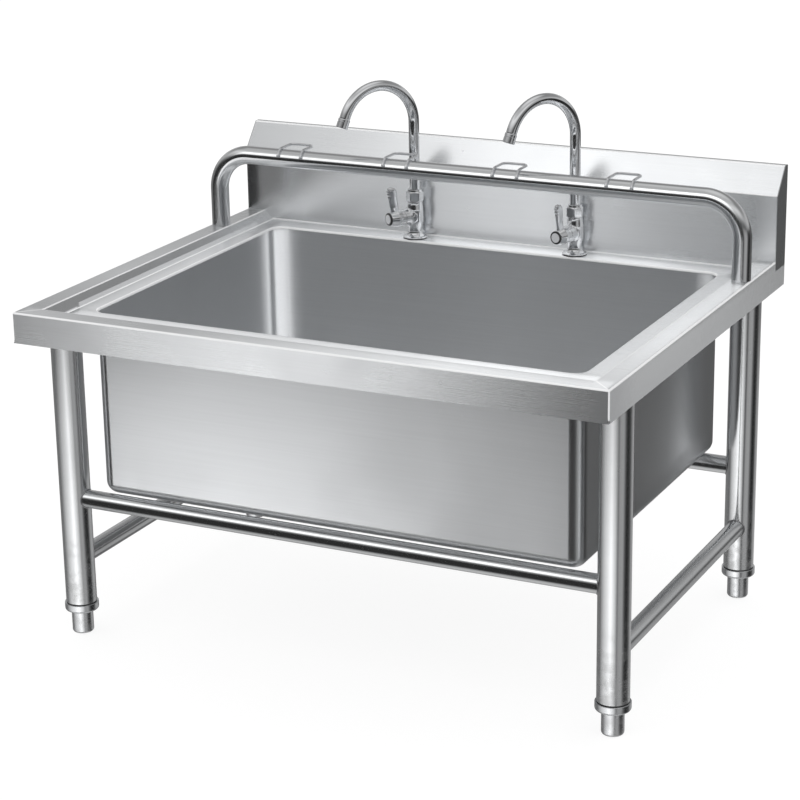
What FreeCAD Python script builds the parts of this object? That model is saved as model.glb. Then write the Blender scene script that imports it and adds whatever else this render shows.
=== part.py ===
import FreeCAD
import Part
import Sketcher
import math
import os
from types import SimpleNamespace

# A free-standing stainless steel mop sink with two pillar taps, in millimetres.
# The origin is on the floor under the middle of the top. +X runs along the length, +Y to the
# backsplash and +Z up. All sizes below go into the document's sheet and drive every piece.
SIZES = {
    # The pressed top and its raised rim
    "top_length": 1000,
    "top_width": 800,
    "rim_height": 575,
    "sheet_gauge": 1.5,
    "strip_width": 34,
    "bevel_run": 17,
    "deck_drop": 16,
    "apron_height": 50,
    "apron_return": 14,
    "deck_side_width": 30.5,
    "deck_front_width": 53,
    "deck_back_width": 44,
    "opening_roll": 4,
    "bend_radius": 2.5,
    # The folded backsplash
    "splash_depth": 50,
    "splash_rise": 111,
    "splash_slope_rise": 44,
    "splash_top_width": 13,
    "splash_back_return": 22,
    # The bowl
    "bowl_depth": 308,
    "bowl_corner_radius": 22,
    "bowl_floor_radius": 20,
    # The stiffening shelves under the top
    "shelf_gauge": 2,
    "shelf_lip": 22,
    "shelf_gap": 3,
    # The legs, their sockets, plugs and screw feet
    "leg_radius": 25.4,
    "leg_wall": 1.5,
    "leg_side_inset": 28,
    "leg_front_inset": 102,
    "leg_back_inset": 114,
    "socket_plate": 3,
    "socket_overhang": 5,
    "socket_spigot": 30,
    "plug_length": 40,
    "plug_flange": 1.2,
    "foot_radius": 17.75,
    "foot_neck_height": 40,
    "foot_edge": 5,
    "collar_radius": 28,
    "collar_height": 14,
    "collar_edge": 9,
    "stem_radius": 6,
    "stem_length": 46,
    # The rails between the legs
    "rail_radius": 15,
    "rail_wall": 1.2,
    "rail_bowl_gap": 1.8,
    "front_rail_lift": 5,
    "side_rail_height": 130,
    # The mop bar, its plugs and nuts
    "bar_radius": 16,
    "bar_wall": 1.5,
    "bar_back_inset": 178,
    "bar_rise": 131,
    "bar_bend": 72,
    "bar_plug_height": 12,
    "bar_stud_radius": 4,
    "bar_stud_drop": 13,
    "bar_nut_radius": 7.5,
    "bar_nut_height": 6.5,
    # The wire clips on the bar
    "wire_radius": 2.25,
    "clip_width": 44,
    "clip_pitch": 203,
    "clip_shift": -28,
    "clip_reach": 24,
    "clip_corner": 10,
    "clip_lift_angle": 90,
    "clip_wrap_angle": 75,
    # The tap bodies on the deck
    "tap_spacing": 302,
    "tap_back_gap": 22,
    "tap_gasket": 1,
    "tap_flange_radius": 21.3,
    "tap_flange_edge": 2.5,
    "tap_neck_radius": 11.8,
    "tap_neck_height": 15,
    "tap_waist_radius": 14.8,
    "tap_waist_height": 34,
    "tap_waist_length": 12,
    "tap_shoulder_radius": 13.2,
    "tap_shoulder_height": 66.5,
    "tap_thread_radius": 11.5,
    "tap_thread_length": 10.5,
    "tap_shank_radius": 10.4,
    "tap_shank_length": 50,
    "tap_tail_length": 36,
    "tap_relief_radius": 9.6,
    "tap_relief_height": 2,
    "tap_waterway_radius": 5,
    "tail_depth": 24,
    "lock_nut_radius": 17,
    "lock_nut_height": 8,
    # The valve nose, its lever and button
    "nose_height": 39,
    "nose_boss_radius": 14,
    "nose_boss_reach": 24,
    "cartridge_radius": 9,
    "cartridge_start": 4,
    "bonnet_radius": 13.6,
    "bonnet_length": 6,
    "spindle_radius": 3.4,
    "spindle_start": 8,
    "hub_back_radius": 14.8,
    "hub_front_radius": 11.2,
    "hub_belly": 11,
    "hub_length": 20.5,
    "hub_web": 9.6,
    "hub_recess_radius": 9.3,
    "screw_radius": 2,
    "screw_head_radius": 3.6,
    "screw_head_height": 2.2,
    "screw_length": 12,
    "button_length": 2.8,
    "disc_radius": 8.2,
    "disc_length": 1.6,
    "disc_sink": 1.1,
    "lever_rise": 57,
    "lever_thickness": 8,
    "lever_root_width": 15,
    "lever_tip_width": 20,
    "lever_lean": 5,
    "lever_groove": 1.6,
    # The swan neck spouts
    "spout_radius": 9.2,
    "spout_wall": 1.2,
    "spout_bend": 70,
    "spout_bend_height": 207,
    "spout_bend_angle": 158,
    "spout_end_length": 7,
    "spout_collar_radius": 11.2,
    "spout_nut_radius": 15.3,
    "spout_nut_corner": 16,
    "spout_nut_height": 21,
    "spout_nut_neck_radius": 12.2,
    "spout_nut_shoulder": 5.5,
    "spout_nut_lip": 8,
    "aerator_radius": 10.3,
    "aerator_length": 16,
    "aerator_recess": 6,
    # How far each tap is turned about its own upright axis, in degrees
    "left_nose_turn": 35,
    "right_nose_turn": 15,
    "left_spout_turn": 33,
    "right_spout_turn": 28,
    # The waste in the bowl floor
    "waste_flange_radius": 57,
    "waste_flange_thickness": 2.2,
    "waste_radius": 42,
    "waste_wall": 1.5,
    "waste_depth": 46,
    "waste_ledge_depth": 8.3,
    "waste_ledge_width": 3,
    "outlet_radius": 21,
    "outlet_length": 16,
    "ring_width": 11,
    "waste_gasket": 3,
    "ring_height": 9,
    "tail_nut_width": 6,
    "tail_nut_height": 20,
    "tailpiece_radius": 20,
    "tailpiece_length": 36,
    "tailpiece_free_length": 28,
    "tailpiece_step": 0.5,
    "basket_radius": 36.9,
    "basket_wall": 1.2,
    "basket_depth": 25,
    "basket_hole_radius": 2,
    "basket_inner_row": 12,
    "basket_outer_row": 25,
    "post_radius": 3,
    "post_height": 22,
    "knob_radius": 9,
    "knob_height": 5,
    # Clearances that all pieces share
    "seat_gap": 0.3,
    "fit_gap": 0.1,
    "running_gap": 0.08,
    "overrun": 10,
}
BASKET_INNER_HOLES = 6
BASKET_OUTER_HOLES = 14
CLIP_COUNT = 4

# The lever's outline, as shares of its height above the hub and of its width at that height
LEVER_BACK_SHARES = [(0, 0), (0.5, 0), (0.88, 0.03), (0.96, 0.14), (1, 0.42)]
LEVER_FRONT_SHARES = [(0.985, 0.74), (0.91, 0.93), (0.84, 1), (0.5, 0.97), (0.2, 1), (0, 1)]
LEVER_GROOVE_SHARES = [0.89, 0.77, 0.65]

doc = FreeCAD.newDocument("mop_sink")


class Size:
    """A number from the sheet, or one worked out from such numbers, with its expression."""

    def __init__(self, value, text):
        self.value = value
        self.text = text

    def __add__(self, other):
        return Size(self.value + value_of(other), "(%s + %s)" % (self.text, text_of(other)))

    def __radd__(self, other):
        return Size(value_of(other) + self.value, "(%s + %s)" % (text_of(other), self.text))

    def __sub__(self, other):
        return Size(self.value - value_of(other), "(%s - %s)" % (self.text, text_of(other)))

    def __rsub__(self, other):
        return Size(value_of(other) - self.value, "(%s - %s)" % (text_of(other), self.text))

    def __mul__(self, other):
        return Size(self.value * value_of(other), "(%s * %s)" % (self.text, text_of(other)))

    __rmul__ = __mul__

    def __truediv__(self, other):
        return Size(self.value / value_of(other), "(%s / %s)" % (self.text, text_of(other)))

    def __neg__(self):
        return Size(-self.value, "(0 - %s)" % self.text)


def value_of(item):
    return item.value if isinstance(item, Size) else float(item)


def text_of(item):
    return item.text if isinstance(item, Size) else repr(item)


def root(item):
    return Size(math.sqrt(item.value), "sqrt(%s)" % item.text)


def sine(angle):
    return Size(math.sin(math.radians(angle.value)), "sin(%s)" % angle.text)


def cosine(angle):
    return Size(math.cos(math.radians(angle.value)), "cos(%s)" % angle.text)


def make_sheet():
    """Fills the sheet, one size a row, and returns the sizes by name."""
    sheet = doc.addObject("Spreadsheet::Sheet", "Sizes")
    named = {}
    for row, (alias, number) in enumerate(SIZES.items(), start=1):
        sheet.set("A%d" % row, alias)
        sheet.set("B%d" % row, repr(number))
        sheet.setAlias("B%d" % row, alias)
        named[alias] = Size(float(number), "Sizes." + alias)
    doc.recompute()
    return SimpleNamespace(**named)


s = make_sheet()

# Levels and lines that several pieces share
half_length = s.top_length / 2
half_width = s.top_width / 2
rim_z = s.rim_height
deck_z = rim_z - s.deck_drop
apron_z = rim_z - s.apron_height
under_deck_z = deck_z - s.sheet_gauge
splash_y = half_width - s.splash_depth
slope_end_y = half_width - s.splash_top_width
bend_z = rim_z + s.splash_rise
splash_top_z = bend_z + s.splash_slope_rise
deck_front_y = s.strip_width + s.bevel_run - half_width
opening_x = half_length - s.strip_width - s.bevel_run - s.deck_side_width
opening_front_y = deck_front_y + s.deck_front_width
opening_back_y = splash_y - s.deck_back_width
roll_z = deck_z - s.opening_roll
floor_z = deck_z - s.bowl_depth
leg_x = half_length - s.leg_side_inset
leg_front_y = s.leg_front_inset - half_width
leg_back_y = half_width - s.leg_back_inset
collar_top_z = s.foot_neck_height + s.collar_height
leg_end_z = collar_top_z + s.seat_gap + s.plug_flange
leg_top_z = under_deck_z - s.shelf_gauge - s.socket_plate
leg_bore = s.leg_radius - s.leg_wall
long_rail_z = floor_z - s.sheet_gauge - s.rail_bowl_gap - s.rail_radius
bar_x = half_length - s.strip_width / 2
bar_y = half_width - s.bar_back_inset
bar_z = rim_z + s.bar_rise
tap_y = splash_y - s.tap_back_gap
waste_y = (opening_front_y + opening_back_y) / 2
shelf_x = opening_x + s.opening_roll + s.shelf_gap
basket_z = s.seat_gap - s.waste_ledge_depth
CORNERS = {
    "front_left": (-leg_x, leg_front_y),
    "front_right": (leg_x, leg_front_y),
    "back_left": (-leg_x, leg_back_y),
    "back_right": (leg_x, leg_back_y),
}

UPRIGHT = "rotation(vector(0; 0; 1); 0)"
ALONG_X = "rotation(vector(0; 1; 0); 90)"
ALONG_Y = "rotation(vector(1; 0; 0); -90)"
FACING_FRONT = "rotation(vector(1; 0; 0); 90)"
FACING_SIDE = "rotation(vector(1; 1; 1); 120)"


def turned(angle, axis="0; 0; 1"):
    """The rotation about one axis, as an expression."""
    return "rotation(vector(%s); %s)" % (axis, text_of(angle))


def put(item, x, y, z, rotation=UPRIGHT):
    """Binds the item's place and turn to the sheet."""
    place = "placement(vector(%s; %s; %s); %s)" % (text_of(x), text_of(y), text_of(z), rotation)
    item.setExpression("Placement", place)
    return item


def bind(item, **values):
    """Binds the item's properties to sizes."""
    for name, size in values.items():
        item.setExpression(name, text_of(size))
    return item


# Sketch helpers

def measure(sketch, kind, index, end, size):
    """Holds a point at a signed distance from the sketch's origin."""
    number = value_of(size)
    if number >= 0:
        constraint = Sketcher.Constraint(kind, -1, 1, index, end, number)
        text = text_of(size)
    else:
        constraint = Sketcher.Constraint(kind, index, end, -1, 1, -number)
        text = "0 - %s" % text_of(size)
    sketch.setExpression("Constraints[%d]" % sketch.addConstraint(constraint), text)


def tie(sketch, index, end, u, v):
    """Ties a point of the sketch to two sizes. A plain 0 lies on the axis."""
    if isinstance(u, Size):
        measure(sketch, "DistanceX", index, end, u)
    else:
        sketch.addConstraint(Sketcher.Constraint("PointOnObject", index, end, -2))
    if isinstance(v, Size):
        measure(sketch, "DistanceY", index, end, v)
    else:
        sketch.addConstraint(Sketcher.Constraint("PointOnObject", index, end, -1))


def polygon(sketch, points):
    """Draws a closed outline through the points."""
    corners = [FreeCAD.Vector(value_of(u), value_of(v), 0) for u, v in points]
    first = sketch.GeometryCount
    count = len(points)
    for index in range(count):
        sketch.addGeometry(Part.LineSegment(corners[index], corners[(index + 1) % count]))
    for index in range(count):
        after = first + (index + 1) % count
        sketch.addConstraint(Sketcher.Constraint("Coincident", first + index, 2, after, 1))
    for index, (u, v) in enumerate(points):
        tie(sketch, first + index, 1, u, v)


def circle(sketch, u, v, radius):
    """Draws a circle about a point."""
    centre = FreeCAD.Vector(value_of(u), value_of(v), 0)
    shape = Part.Circle(centre, FreeCAD.Vector(0, 0, 1), value_of(radius))
    index = sketch.addGeometry(shape)
    tie(sketch, index, 3, u, v)
    constraint = Sketcher.Constraint("Radius", index, value_of(radius))
    sketch.setExpression("Constraints[%d]" % sketch.addConstraint(constraint), text_of(radius))


def line(sketch, begin, finish):
    """Draws a line between two points and returns its number."""
    ends = [FreeCAD.Vector(value_of(u), value_of(v), 0) for u, v in (begin, finish)]
    index = sketch.addGeometry(Part.LineSegment(*ends))
    tie(sketch, index, 1, *begin)
    tie(sketch, index, 2, *finish)
    return index


def arc(sketch, centre, radius, angles, begin, finish):
    """Draws an arc from one line's end to another's, each given as line number and end."""
    middle = FreeCAD.Vector(value_of(centre[0]), value_of(centre[1]), 0)
    shape = Part.Circle(middle, FreeCAD.Vector(0, 0, 1), value_of(radius))
    index = sketch.addGeometry(Part.ArcOfCircle(shape, *[math.radians(angle) for angle in angles]))
    sketch.addConstraint(Sketcher.Constraint("Coincident", index, 1, *begin))
    sketch.addConstraint(Sketcher.Constraint("Coincident", index, 2, *finish))
    constraint = Sketcher.Constraint("Radius", index, value_of(radius))
    sketch.setExpression("Constraints[%d]" % sketch.addConstraint(constraint), text_of(radius))


def rounded_line(sketch, side, front, back, radius):
    """Draws a rounded rectangle that starts in the middle of its right side."""
    inner = side - radius
    low = front + radius
    high = back - radius
    right = line(sketch, (side, 0), (side, high))
    top = line(sketch, (inner, back), (-inner, back))
    left = line(sketch, (-side, high), (-side, low))
    bottom = line(sketch, (-inner, front), (inner, front))
    last = line(sketch, (side, low), (side, 0))
    arc(sketch, (inner, high), radius, (0, 90), (right, 2), (top, 1))
    arc(sketch, (-inner, high), radius, (90, 180), (top, 2), (left, 1))
    arc(sketch, (-inner, low), radius, (180, 270), (left, 2), (bottom, 1))
    arc(sketch, (inner, low), radius, (270, 360), (bottom, 2), (last, 1))


def quarter_ring(sketch, u, v, outer, inner):
    """Draws the quarter of a ring that lies above and to the left of its centre."""
    upright = line(sketch, (u, v + inner), (u, v + outer))
    flat = line(sketch, (u - outer, v), (u - inner, v))
    arc(sketch, (u, v), outer, (90, 180), (upright, 2), (flat, 1))
    arc(sketch, (u, v), inner, (90, 180), (upright, 1), (flat, 2))


def rectangle(u_from, v_from, u_to, v_to):
    """The corners of a rectangle, in order."""
    return [(u_from, v_from), (u_to, v_from), (u_to, v_to), (u_from, v_to)]


# Body helpers

def new_body(label):
    body = doc.addObject("PartDesign::Body", label)
    body.Label = label
    return body


def new_sketch(body, plane, level=0):
    """A sketch on one of the body's own origin planes, moved along its normal."""
    sketch = body.newObject("Sketcher::SketchObject", body.Label + "_sketch")
    support = [f for f in body.Origin.OriginFeatures if f.Role == plane + "_Plane"][0]
    sketch.AttachmentSupport = [(support, "")]
    sketch.MapMode = "FlatFace"
    if isinstance(level, Size):
        sketch.setExpression("AttachmentOffset.Base.z", level.text)
    return sketch


def add_feature(body, kind, profile, **values):
    feature = body.newObject("PartDesign::" + kind, body.Label + "_" + kind.lower())
    feature.Profile = profile
    return bind(feature, **values)


def pad(body, profile, length):
    return add_feature(body, "Pad", profile, Length=length)


def pocket(body, profile, length, backwards=False):
    """Cuts a pocket, and stops if it removes nothing."""
    doc.recompute()
    before = body.Shape.Volume
    feature = add_feature(body, "Pocket", profile, Length=length)
    feature.Reversed = backwards
    doc.recompute()
    if body.Shape.Volume >= before:
        raise ValueError("the pocket in %s cuts nothing" % body.Label)
    return feature


def revolve(label, points):
    """A turned body from an outline of radius and height pairs."""
    body = new_body(label)
    profile = new_sketch(body, "XZ")
    polygon(profile, points)
    feature = add_feature(body, "Revolution", profile)
    feature.ReferenceAxis = (profile, ["V_Axis"])
    feature.Angle = 360
    return body


def extrude(label, plane, outlines, level, length):
    """A body padded from closed outlines on one plane."""
    body = new_body(label)
    profile = new_sketch(body, plane, level)
    for outline in outlines:
        polygon(profile, outline)
    pad(body, profile, length)
    return body


def round_edges(body, chosen, radius):
    """Rounds the edges of the body's tip for which chosen(edge) is true."""
    doc.recompute()
    base = body.Tip
    names = ["Edge%d" % (i + 1) for i, edge in enumerate(base.Shape.Edges) if chosen(edge)]
    if not names:
        raise ValueError("no edge to round on %s" % body.Label)
    feature = body.newObject("PartDesign::Fillet", body.Label + "_fillet")
    feature.Base = (base, names)
    bind(feature, Radius=radius)
    doc.recompute()
    return feature


def is_upright(edge):
    """True for a straight vertical edge."""
    low, high = edge.BoundBox.ZMin, edge.BoundBox.ZMax
    return edge.Curve.TypeId == "Part::GeomLine" and math.isclose(high - low, edge.Length, rel_tol=1e-6)


def along_x_at(points):
    """A test for the edges that run along X through the given Y and Z places."""
    places = [(value_of(y), value_of(z)) for y, z in points]

    def chosen(edge):
        box = edge.BoundBox
        if box.YLength > 1e-6 or box.ZLength > 1e-6:
            return False
        return any(math.dist((box.YMin, box.ZMin), place) < 1e-4 for place in places)
    return chosen


def circle_at(radius, level):
    """A test for the full circle of one radius at one level."""
    def chosen(edge):
        if edge.Curve.TypeId != "Part::GeomCircle":
            return False
        same_radius = math.isclose(edge.Curve.Radius, radius.value, abs_tol=1e-4)
        return same_radius and math.isclose(edge.Curve.Center.z, value_of(level), abs_tol=1e-4)
    return chosen


# Primitive and boolean helpers

def cylinder(label, radius, height):
    item = doc.addObject("Part::Cylinder", label)
    return bind(item, Radius=radius, Height=height)


def elbow(label, bend, radius, angle):
    """A bent stretch of round bar, swept from its own X axis."""
    item = doc.addObject("Part::Torus", label)
    return bind(item, Radius1=bend, Radius2=radius, Angle3=angle)


def hexagon(label, radius, height):
    item = doc.addObject("Part::Prism", label)
    item.Polygon = 6
    return bind(item, Circumradius=radius, Height=height)


def fuse(label, items):
    item = doc.addObject("Part::MultiFuse", label)
    item.Shapes = items
    item.Refine = True
    item.Label = label
    return item


def cut(label, base, tool):
    item = doc.addObject("Part::Cut", label)
    item.Base = base
    item.Tool = tool
    item.Refine = True
    item.Label = label
    return item


def common(label, items):
    item = doc.addObject("Part::MultiCommon", label)
    item.Shapes = items
    item.Refine = True
    item.Label = label
    return item


def group(label, items):
    """Like pieces that share one name, each still a solid of its own."""
    item = doc.addObject("Part::Compound", label)
    item.Links = items
    item.Label = label
    return item


# The pressed top

def rim_form(label, inset):
    """The solid form under the top's skin, with every face moved in by inset."""
    bevel = root(s.bevel_run * s.bevel_run + s.deck_drop * s.deck_drop)
    creep = inset * ((bevel - s.bevel_run) / s.deck_drop)
    side = half_length - inset
    front = inset - half_width
    low = apron_z if inset == 0 else apron_z - s.overrun
    body = new_body(label)
    base = new_sketch(body, "XY", low)
    polygon(base, rectangle(-side, front, side, half_width - inset))
    pad(body, base, deck_z - inset - low)
    rim = new_sketch(body, "XY", deck_z - inset)
    polygon(rim, rectangle(-side, front, side, splash_y - inset))
    pad(body, rim, s.deck_drop)
    upper = new_sketch(body, "XY", rim_z - inset)
    upper_x = half_length - s.strip_width + creep
    polygon(upper, rectangle(-upper_x, s.strip_width - half_width - creep, upper_x,
                             splash_y + s.bevel_run + s.bevel_run))
    lower = new_sketch(body, "XY", deck_z - inset)
    lower_x = upper_x - s.bevel_run
    polygon(lower, rectangle(-lower_x, deck_front_y - creep, lower_x, splash_y + s.bevel_run))
    tray = add_feature(body, "SubtractiveLoft", upper)
    tray.Sections = [lower]
    tray.Ruled = True
    top_z = value_of(rim_z - inset)
    bottom_z = value_of(deck_z - inset)

    def spans(edge, low_z, high_z):
        box = edge.BoundBox
        same = math.isclose(box.ZMin, low_z, abs_tol=1e-4) and math.isclose(box.ZMax, high_z, abs_tol=1e-4)
        return same and box.YMin < value_of(splash_y - inset) - 1e-4

    def outer_or_crease(edge):
        corner = is_upright(edge) and edge.BoundBox.YMax < value_of(deck_front_y)
        return corner or spans(edge, top_z, top_z)

    def valley(edge):
        inside = abs(edge.BoundBox.XMax) < value_of(lower_x) + 1e-3
        return inside and (spans(edge, bottom_z, bottom_z) or spans(edge, bottom_z, top_z))

    round_edges(body, outer_or_crease, s.bend_radius - inset)
    round_edges(body, valley, s.bend_radius + inset)
    return body


def rounded_block(label, side, front, back, low, high, radius):
    """An upright block with rounded corners, for the opening and the bowl."""
    body = extrude(label, "XY", [rectangle(-side, front, side, back)], low, high - low)
    round_edges(body, is_upright, radius)
    return body


def make_roll():
    """The deck's edge, rolled down round the opening to meet the bowl."""
    body = new_body("top_roll")
    line = new_sketch(body, "XY", deck_z)
    rounded_line(line, opening_x, opening_front_y, opening_back_y, s.bowl_corner_radius)
    roll = new_sketch(body, "XZ")
    quarter_ring(roll, opening_x + s.opening_roll, roll_z, s.opening_roll, s.opening_roll - s.sheet_gauge)
    pipe = add_feature(body, "AdditivePipe", roll)
    pipe.Spine = line
    return body


def make_worktop():
    shell = cut("top_shell", rim_form("top_outer", 0), rim_form("top_inner", s.sheet_gauge))
    inner_x = half_length - s.apron_return
    inner_y = half_width - s.apron_return
    outer_line = rectangle(-half_length, -half_width, half_length, half_width)
    inner_line = rectangle(-inner_x, -inner_y, inner_x, inner_y)
    lip = extrude("top_return", "XY", [outer_line, inner_line], apron_z, s.sheet_gauge)
    low = under_deck_z - s.overrun
    roll = s.opening_roll
    tools = [rounded_block("top_opening", opening_x + roll, opening_front_y - roll, opening_back_y + roll,
                           low, deck_z + s.overrun, s.bowl_corner_radius + roll)]
    for side in (-1, 1):
        tap_hole = cylinder("tap_hole", s.tap_shank_radius + s.seat_gap, s.overrun + s.overrun)
        tools.append(put(tap_hole, s.tap_spacing * side / 2, tap_y, low))
        bar_hole = cylinder("bar_hole", s.bar_stud_radius + s.seat_gap, s.overrun)
        tools.append(put(bar_hole, bar_x * side, bar_y, rim_z - s.overrun / 2))
    for x, y in CORNERS.values():
        notch = cylinder("leg_notch", s.leg_radius + s.seat_gap, s.overrun * 2)
        tools.append(put(notch, x, y, apron_z - s.overrun))
    sheet = cut("top_cut", fuse("top_sheet", [shell, lip]), fuse("top_cuts", tools))
    fuse("worktop", [sheet, make_roll()])


def make_backsplash():
    slope_run = slope_end_y - splash_y
    slope = root(slope_run * slope_run + s.splash_slope_rise * s.splash_slope_rise)
    lower_creep = s.sheet_gauge * (slope - s.splash_slope_rise) / slope_run
    upper_creep = s.sheet_gauge * (slope - slope_run) / s.splash_slope_rise
    back_y = half_width - s.sheet_gauge
    return_z = splash_top_z - s.splash_back_return
    outline = [
        (splash_y, deck_z),
        (splash_y, bend_z),
        (slope_end_y, splash_top_z),
        (half_width, splash_top_z),
        (half_width, return_z),
        (back_y, return_z),
        (back_y, splash_top_z - s.sheet_gauge),
        (slope_end_y + upper_creep, splash_top_z - s.sheet_gauge),
        (splash_y + s.sheet_gauge, bend_z - lower_creep),
        (splash_y + s.sheet_gauge, deck_z),
    ]
    inner_x = half_length - s.sheet_gauge
    end = [outline[0], outline[1], outline[2], outline[3], (half_width, deck_z)]
    plates = [
        extrude("backsplash", "YZ", [outline], -inner_x, inner_x + inner_x),
        extrude("backsplash_end_left", "YZ", [end], -half_length, s.sheet_gauge),
        extrude("backsplash_end_right", "YZ", [end], inner_x, s.sheet_gauge),
    ]
    for plate in plates:
        round_edges(plate, along_x_at(outline[1:4]), s.bend_radius)


def bowl_form(label, grow, top):
    """The bowl's outer or inner form, grown outwards by one gauge or by nothing."""
    low = floor_z - grow
    body = rounded_block(label, opening_x + grow, opening_front_y - grow, opening_back_y + grow,
                         low, top, s.bowl_corner_radius + grow)

    def at_floor(edge):
        return math.isclose(edge.BoundBox.ZMax, value_of(low), abs_tol=1e-4)

    round_edges(body, at_floor, s.bowl_floor_radius + grow)
    return body


def make_bowl():
    outer = bowl_form("bowl_outer", s.sheet_gauge, roll_z)
    inner = bowl_form("bowl_inner", 0, roll_z + s.overrun)
    hole = cylinder("bowl_hole", s.waste_radius + s.seat_gap, s.overrun + s.overrun)
    put(hole, 0, waste_y, floor_z - s.overrun)
    cut("bowl", cut("bowl_shell", outer, inner), hole)


def angle_section(near, far, lip_at_near=True):
    """The outline of an angle: a flat web under the deck and one lip that hangs from it."""
    web_z = under_deck_z - s.shelf_gauge
    lip_z = under_deck_z - s.shelf_lip
    inner = near + s.shelf_gauge
    return [(near, under_deck_z), (far, under_deck_z), (far, web_z), (inner, web_z), (inner, lip_z),
            (near, lip_z)]


def make_shelves():
    """The angles that stiffen the deck. The side ones carry the legs."""
    far_x = half_length - s.sheet_gauge - s.seat_gap
    front_y = deck_front_y + s.shelf_gap
    for label, side in (("side_shelf_left", -1), ("side_shelf_right", 1)):
        section = [(x * side, z) for x, z in angle_section(shelf_x, far_x)]
        extrude(label, "XZ", [section], -splash_y, splash_y - front_y)
    reach = shelf_x - s.shelf_gap
    front = angle_section(front_y, opening_front_y - s.sheet_gauge - s.shelf_gap)
    extrude("front_stiffener", "YZ", [front], -reach, reach + reach)
    far_y = half_width - s.sheet_gauge - s.seat_gap
    back = angle_section(splash_y + s.shelf_gap, far_y)
    extrude("back_stiffener", "YZ", [back], -reach, reach + reach)


# The legs and their feet

def make_leg(corner, x, y):
    leg = new_body("leg_" + corner)
    ring = new_sketch(leg, "XY")
    circle(ring, 0, 0, s.leg_radius)
    circle(ring, 0, 0, leg_bore)
    pad(leg, ring, leg_top_z - leg_end_z)
    put(leg, x, y, leg_end_z)


def make_socket(x, y):
    """The plate welded under the shelf, with the spigot that the leg slips over."""
    plate = doc.addObject("Part::Box", "socket_plate")
    depth = s.leg_radius + s.socket_overhang
    bind(plate, Length=s.leg_radius + s.leg_radius, Width=depth + depth, Height=s.socket_plate)
    put(plate, x - s.leg_radius, y - depth, leg_top_z)
    spigot = cylinder("socket_spigot", leg_bore - s.fit_gap, s.socket_spigot + s.socket_plate / 2)
    put(spigot, x, y, leg_top_z - s.socket_spigot)
    return fuse("leg_socket", [plate, spigot])


def make_plug(x, y):
    """The black plug that closes the tube and holds the foot's screw."""
    bore = s.stem_radius + s.running_gap
    flange = s.leg_radius - s.seat_gap
    plug = revolve("leg_plug", [
        (bore, -s.plug_flange), (flange, -s.plug_flange), (flange, -s.fit_gap),
        (leg_bore - s.fit_gap, -s.fit_gap), (leg_bore - s.fit_gap, s.plug_length), (bore, s.plug_length),
    ])
    return put(plug, x, y, leg_end_z)


def make_foot(corner, x, y):
    """The bullet foot: a round bar, a wide collar and the screw above it."""
    stem_top = collar_top_z + s.stem_length
    foot = revolve("foot_" + corner, [
        (0, 0), (s.foot_radius, 0), (s.foot_radius, s.foot_neck_height),
        (s.collar_radius, s.foot_neck_height), (s.collar_radius, collar_top_z),
        (s.stem_radius, collar_top_z), (s.stem_radius, stem_top), (0, stem_top),
    ])
    round_edges(foot, circle_at(s.foot_radius, 0), s.foot_edge)
    round_edges(foot, circle_at(s.collar_radius, s.foot_neck_height), s.collar_edge)
    put(foot, x, y, 0)


def make_rail(label, start, rotation, length, ends):
    """A tube between two legs, shaped at its ends to fit round them."""
    x, y, z = start
    outer = put(cylinder("rail_outer", s.rail_radius, length), x, y, z, rotation)
    inner = put(cylinder("rail_bore", s.rail_radius - s.rail_wall, length), x, y, z, rotation)
    tools = [inner]
    for end_x, end_y in ends:
        clear = cylinder("rail_end", s.leg_radius + s.fit_gap, s.rail_radius * 4)
        tools.append(put(clear, end_x, end_y, z - s.rail_radius * 2))
    cut(label, outer, fuse("rail_cuts", tools))


def make_frame():
    sockets = []
    plugs = []
    for corner, (x, y) in CORNERS.items():
        make_leg(corner, x, y)
        sockets.append(make_socket(x, y))
        plugs.append(make_plug(x, y))
        make_foot(corner, x, y)
    group("leg_sockets", sockets)
    group("leg_plugs", plugs)
    across = leg_x + leg_x
    deep = leg_back_y - leg_front_y
    front_rail_z = long_rail_z + s.front_rail_lift
    for label, y, z in (("rail_front", leg_front_y, front_rail_z), ("rail_back", leg_back_y, long_rail_z)):
        make_rail(label, (-leg_x, y, z), ALONG_X, across, [(-leg_x, y), (leg_x, y)])
    for label, x in (("rail_left", -leg_x), ("rail_right", leg_x)):
        make_rail(label, (x, leg_front_y, s.side_rail_height), ALONG_Y, deep,
                  [(x, leg_front_y), (x, leg_back_y)])


# The mop bar and its clips

def arch(label, radius, low):
    """The bar's line as a solid round of one radius: two posts, two bends and a crosspiece."""
    bend_x = bar_x - s.bar_bend
    bend_low = bar_z - s.bar_bend
    left = put(cylinder("bar_post", radius, bend_low - low), -bar_x, bar_y, low)
    right = put(cylinder("bar_post", radius, bend_low - low), bar_x, bar_y, low)
    left_bend = elbow("bar_elbow", s.bar_bend, radius, 90)
    put(left_bend, -bend_x, bar_y, bend_low, FACING_FRONT + " * " + turned(90))
    right_bend = elbow("bar_elbow", s.bar_bend, radius, 90)
    put(right_bend, bend_x, bar_y, bend_low, FACING_FRONT)
    top = put(cylinder("bar_top", radius, bend_x + bend_x), -bend_x, bar_y, bar_z, ALONG_X)
    return fuse(label, [left, left_bend, top, right_bend, right])


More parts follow.
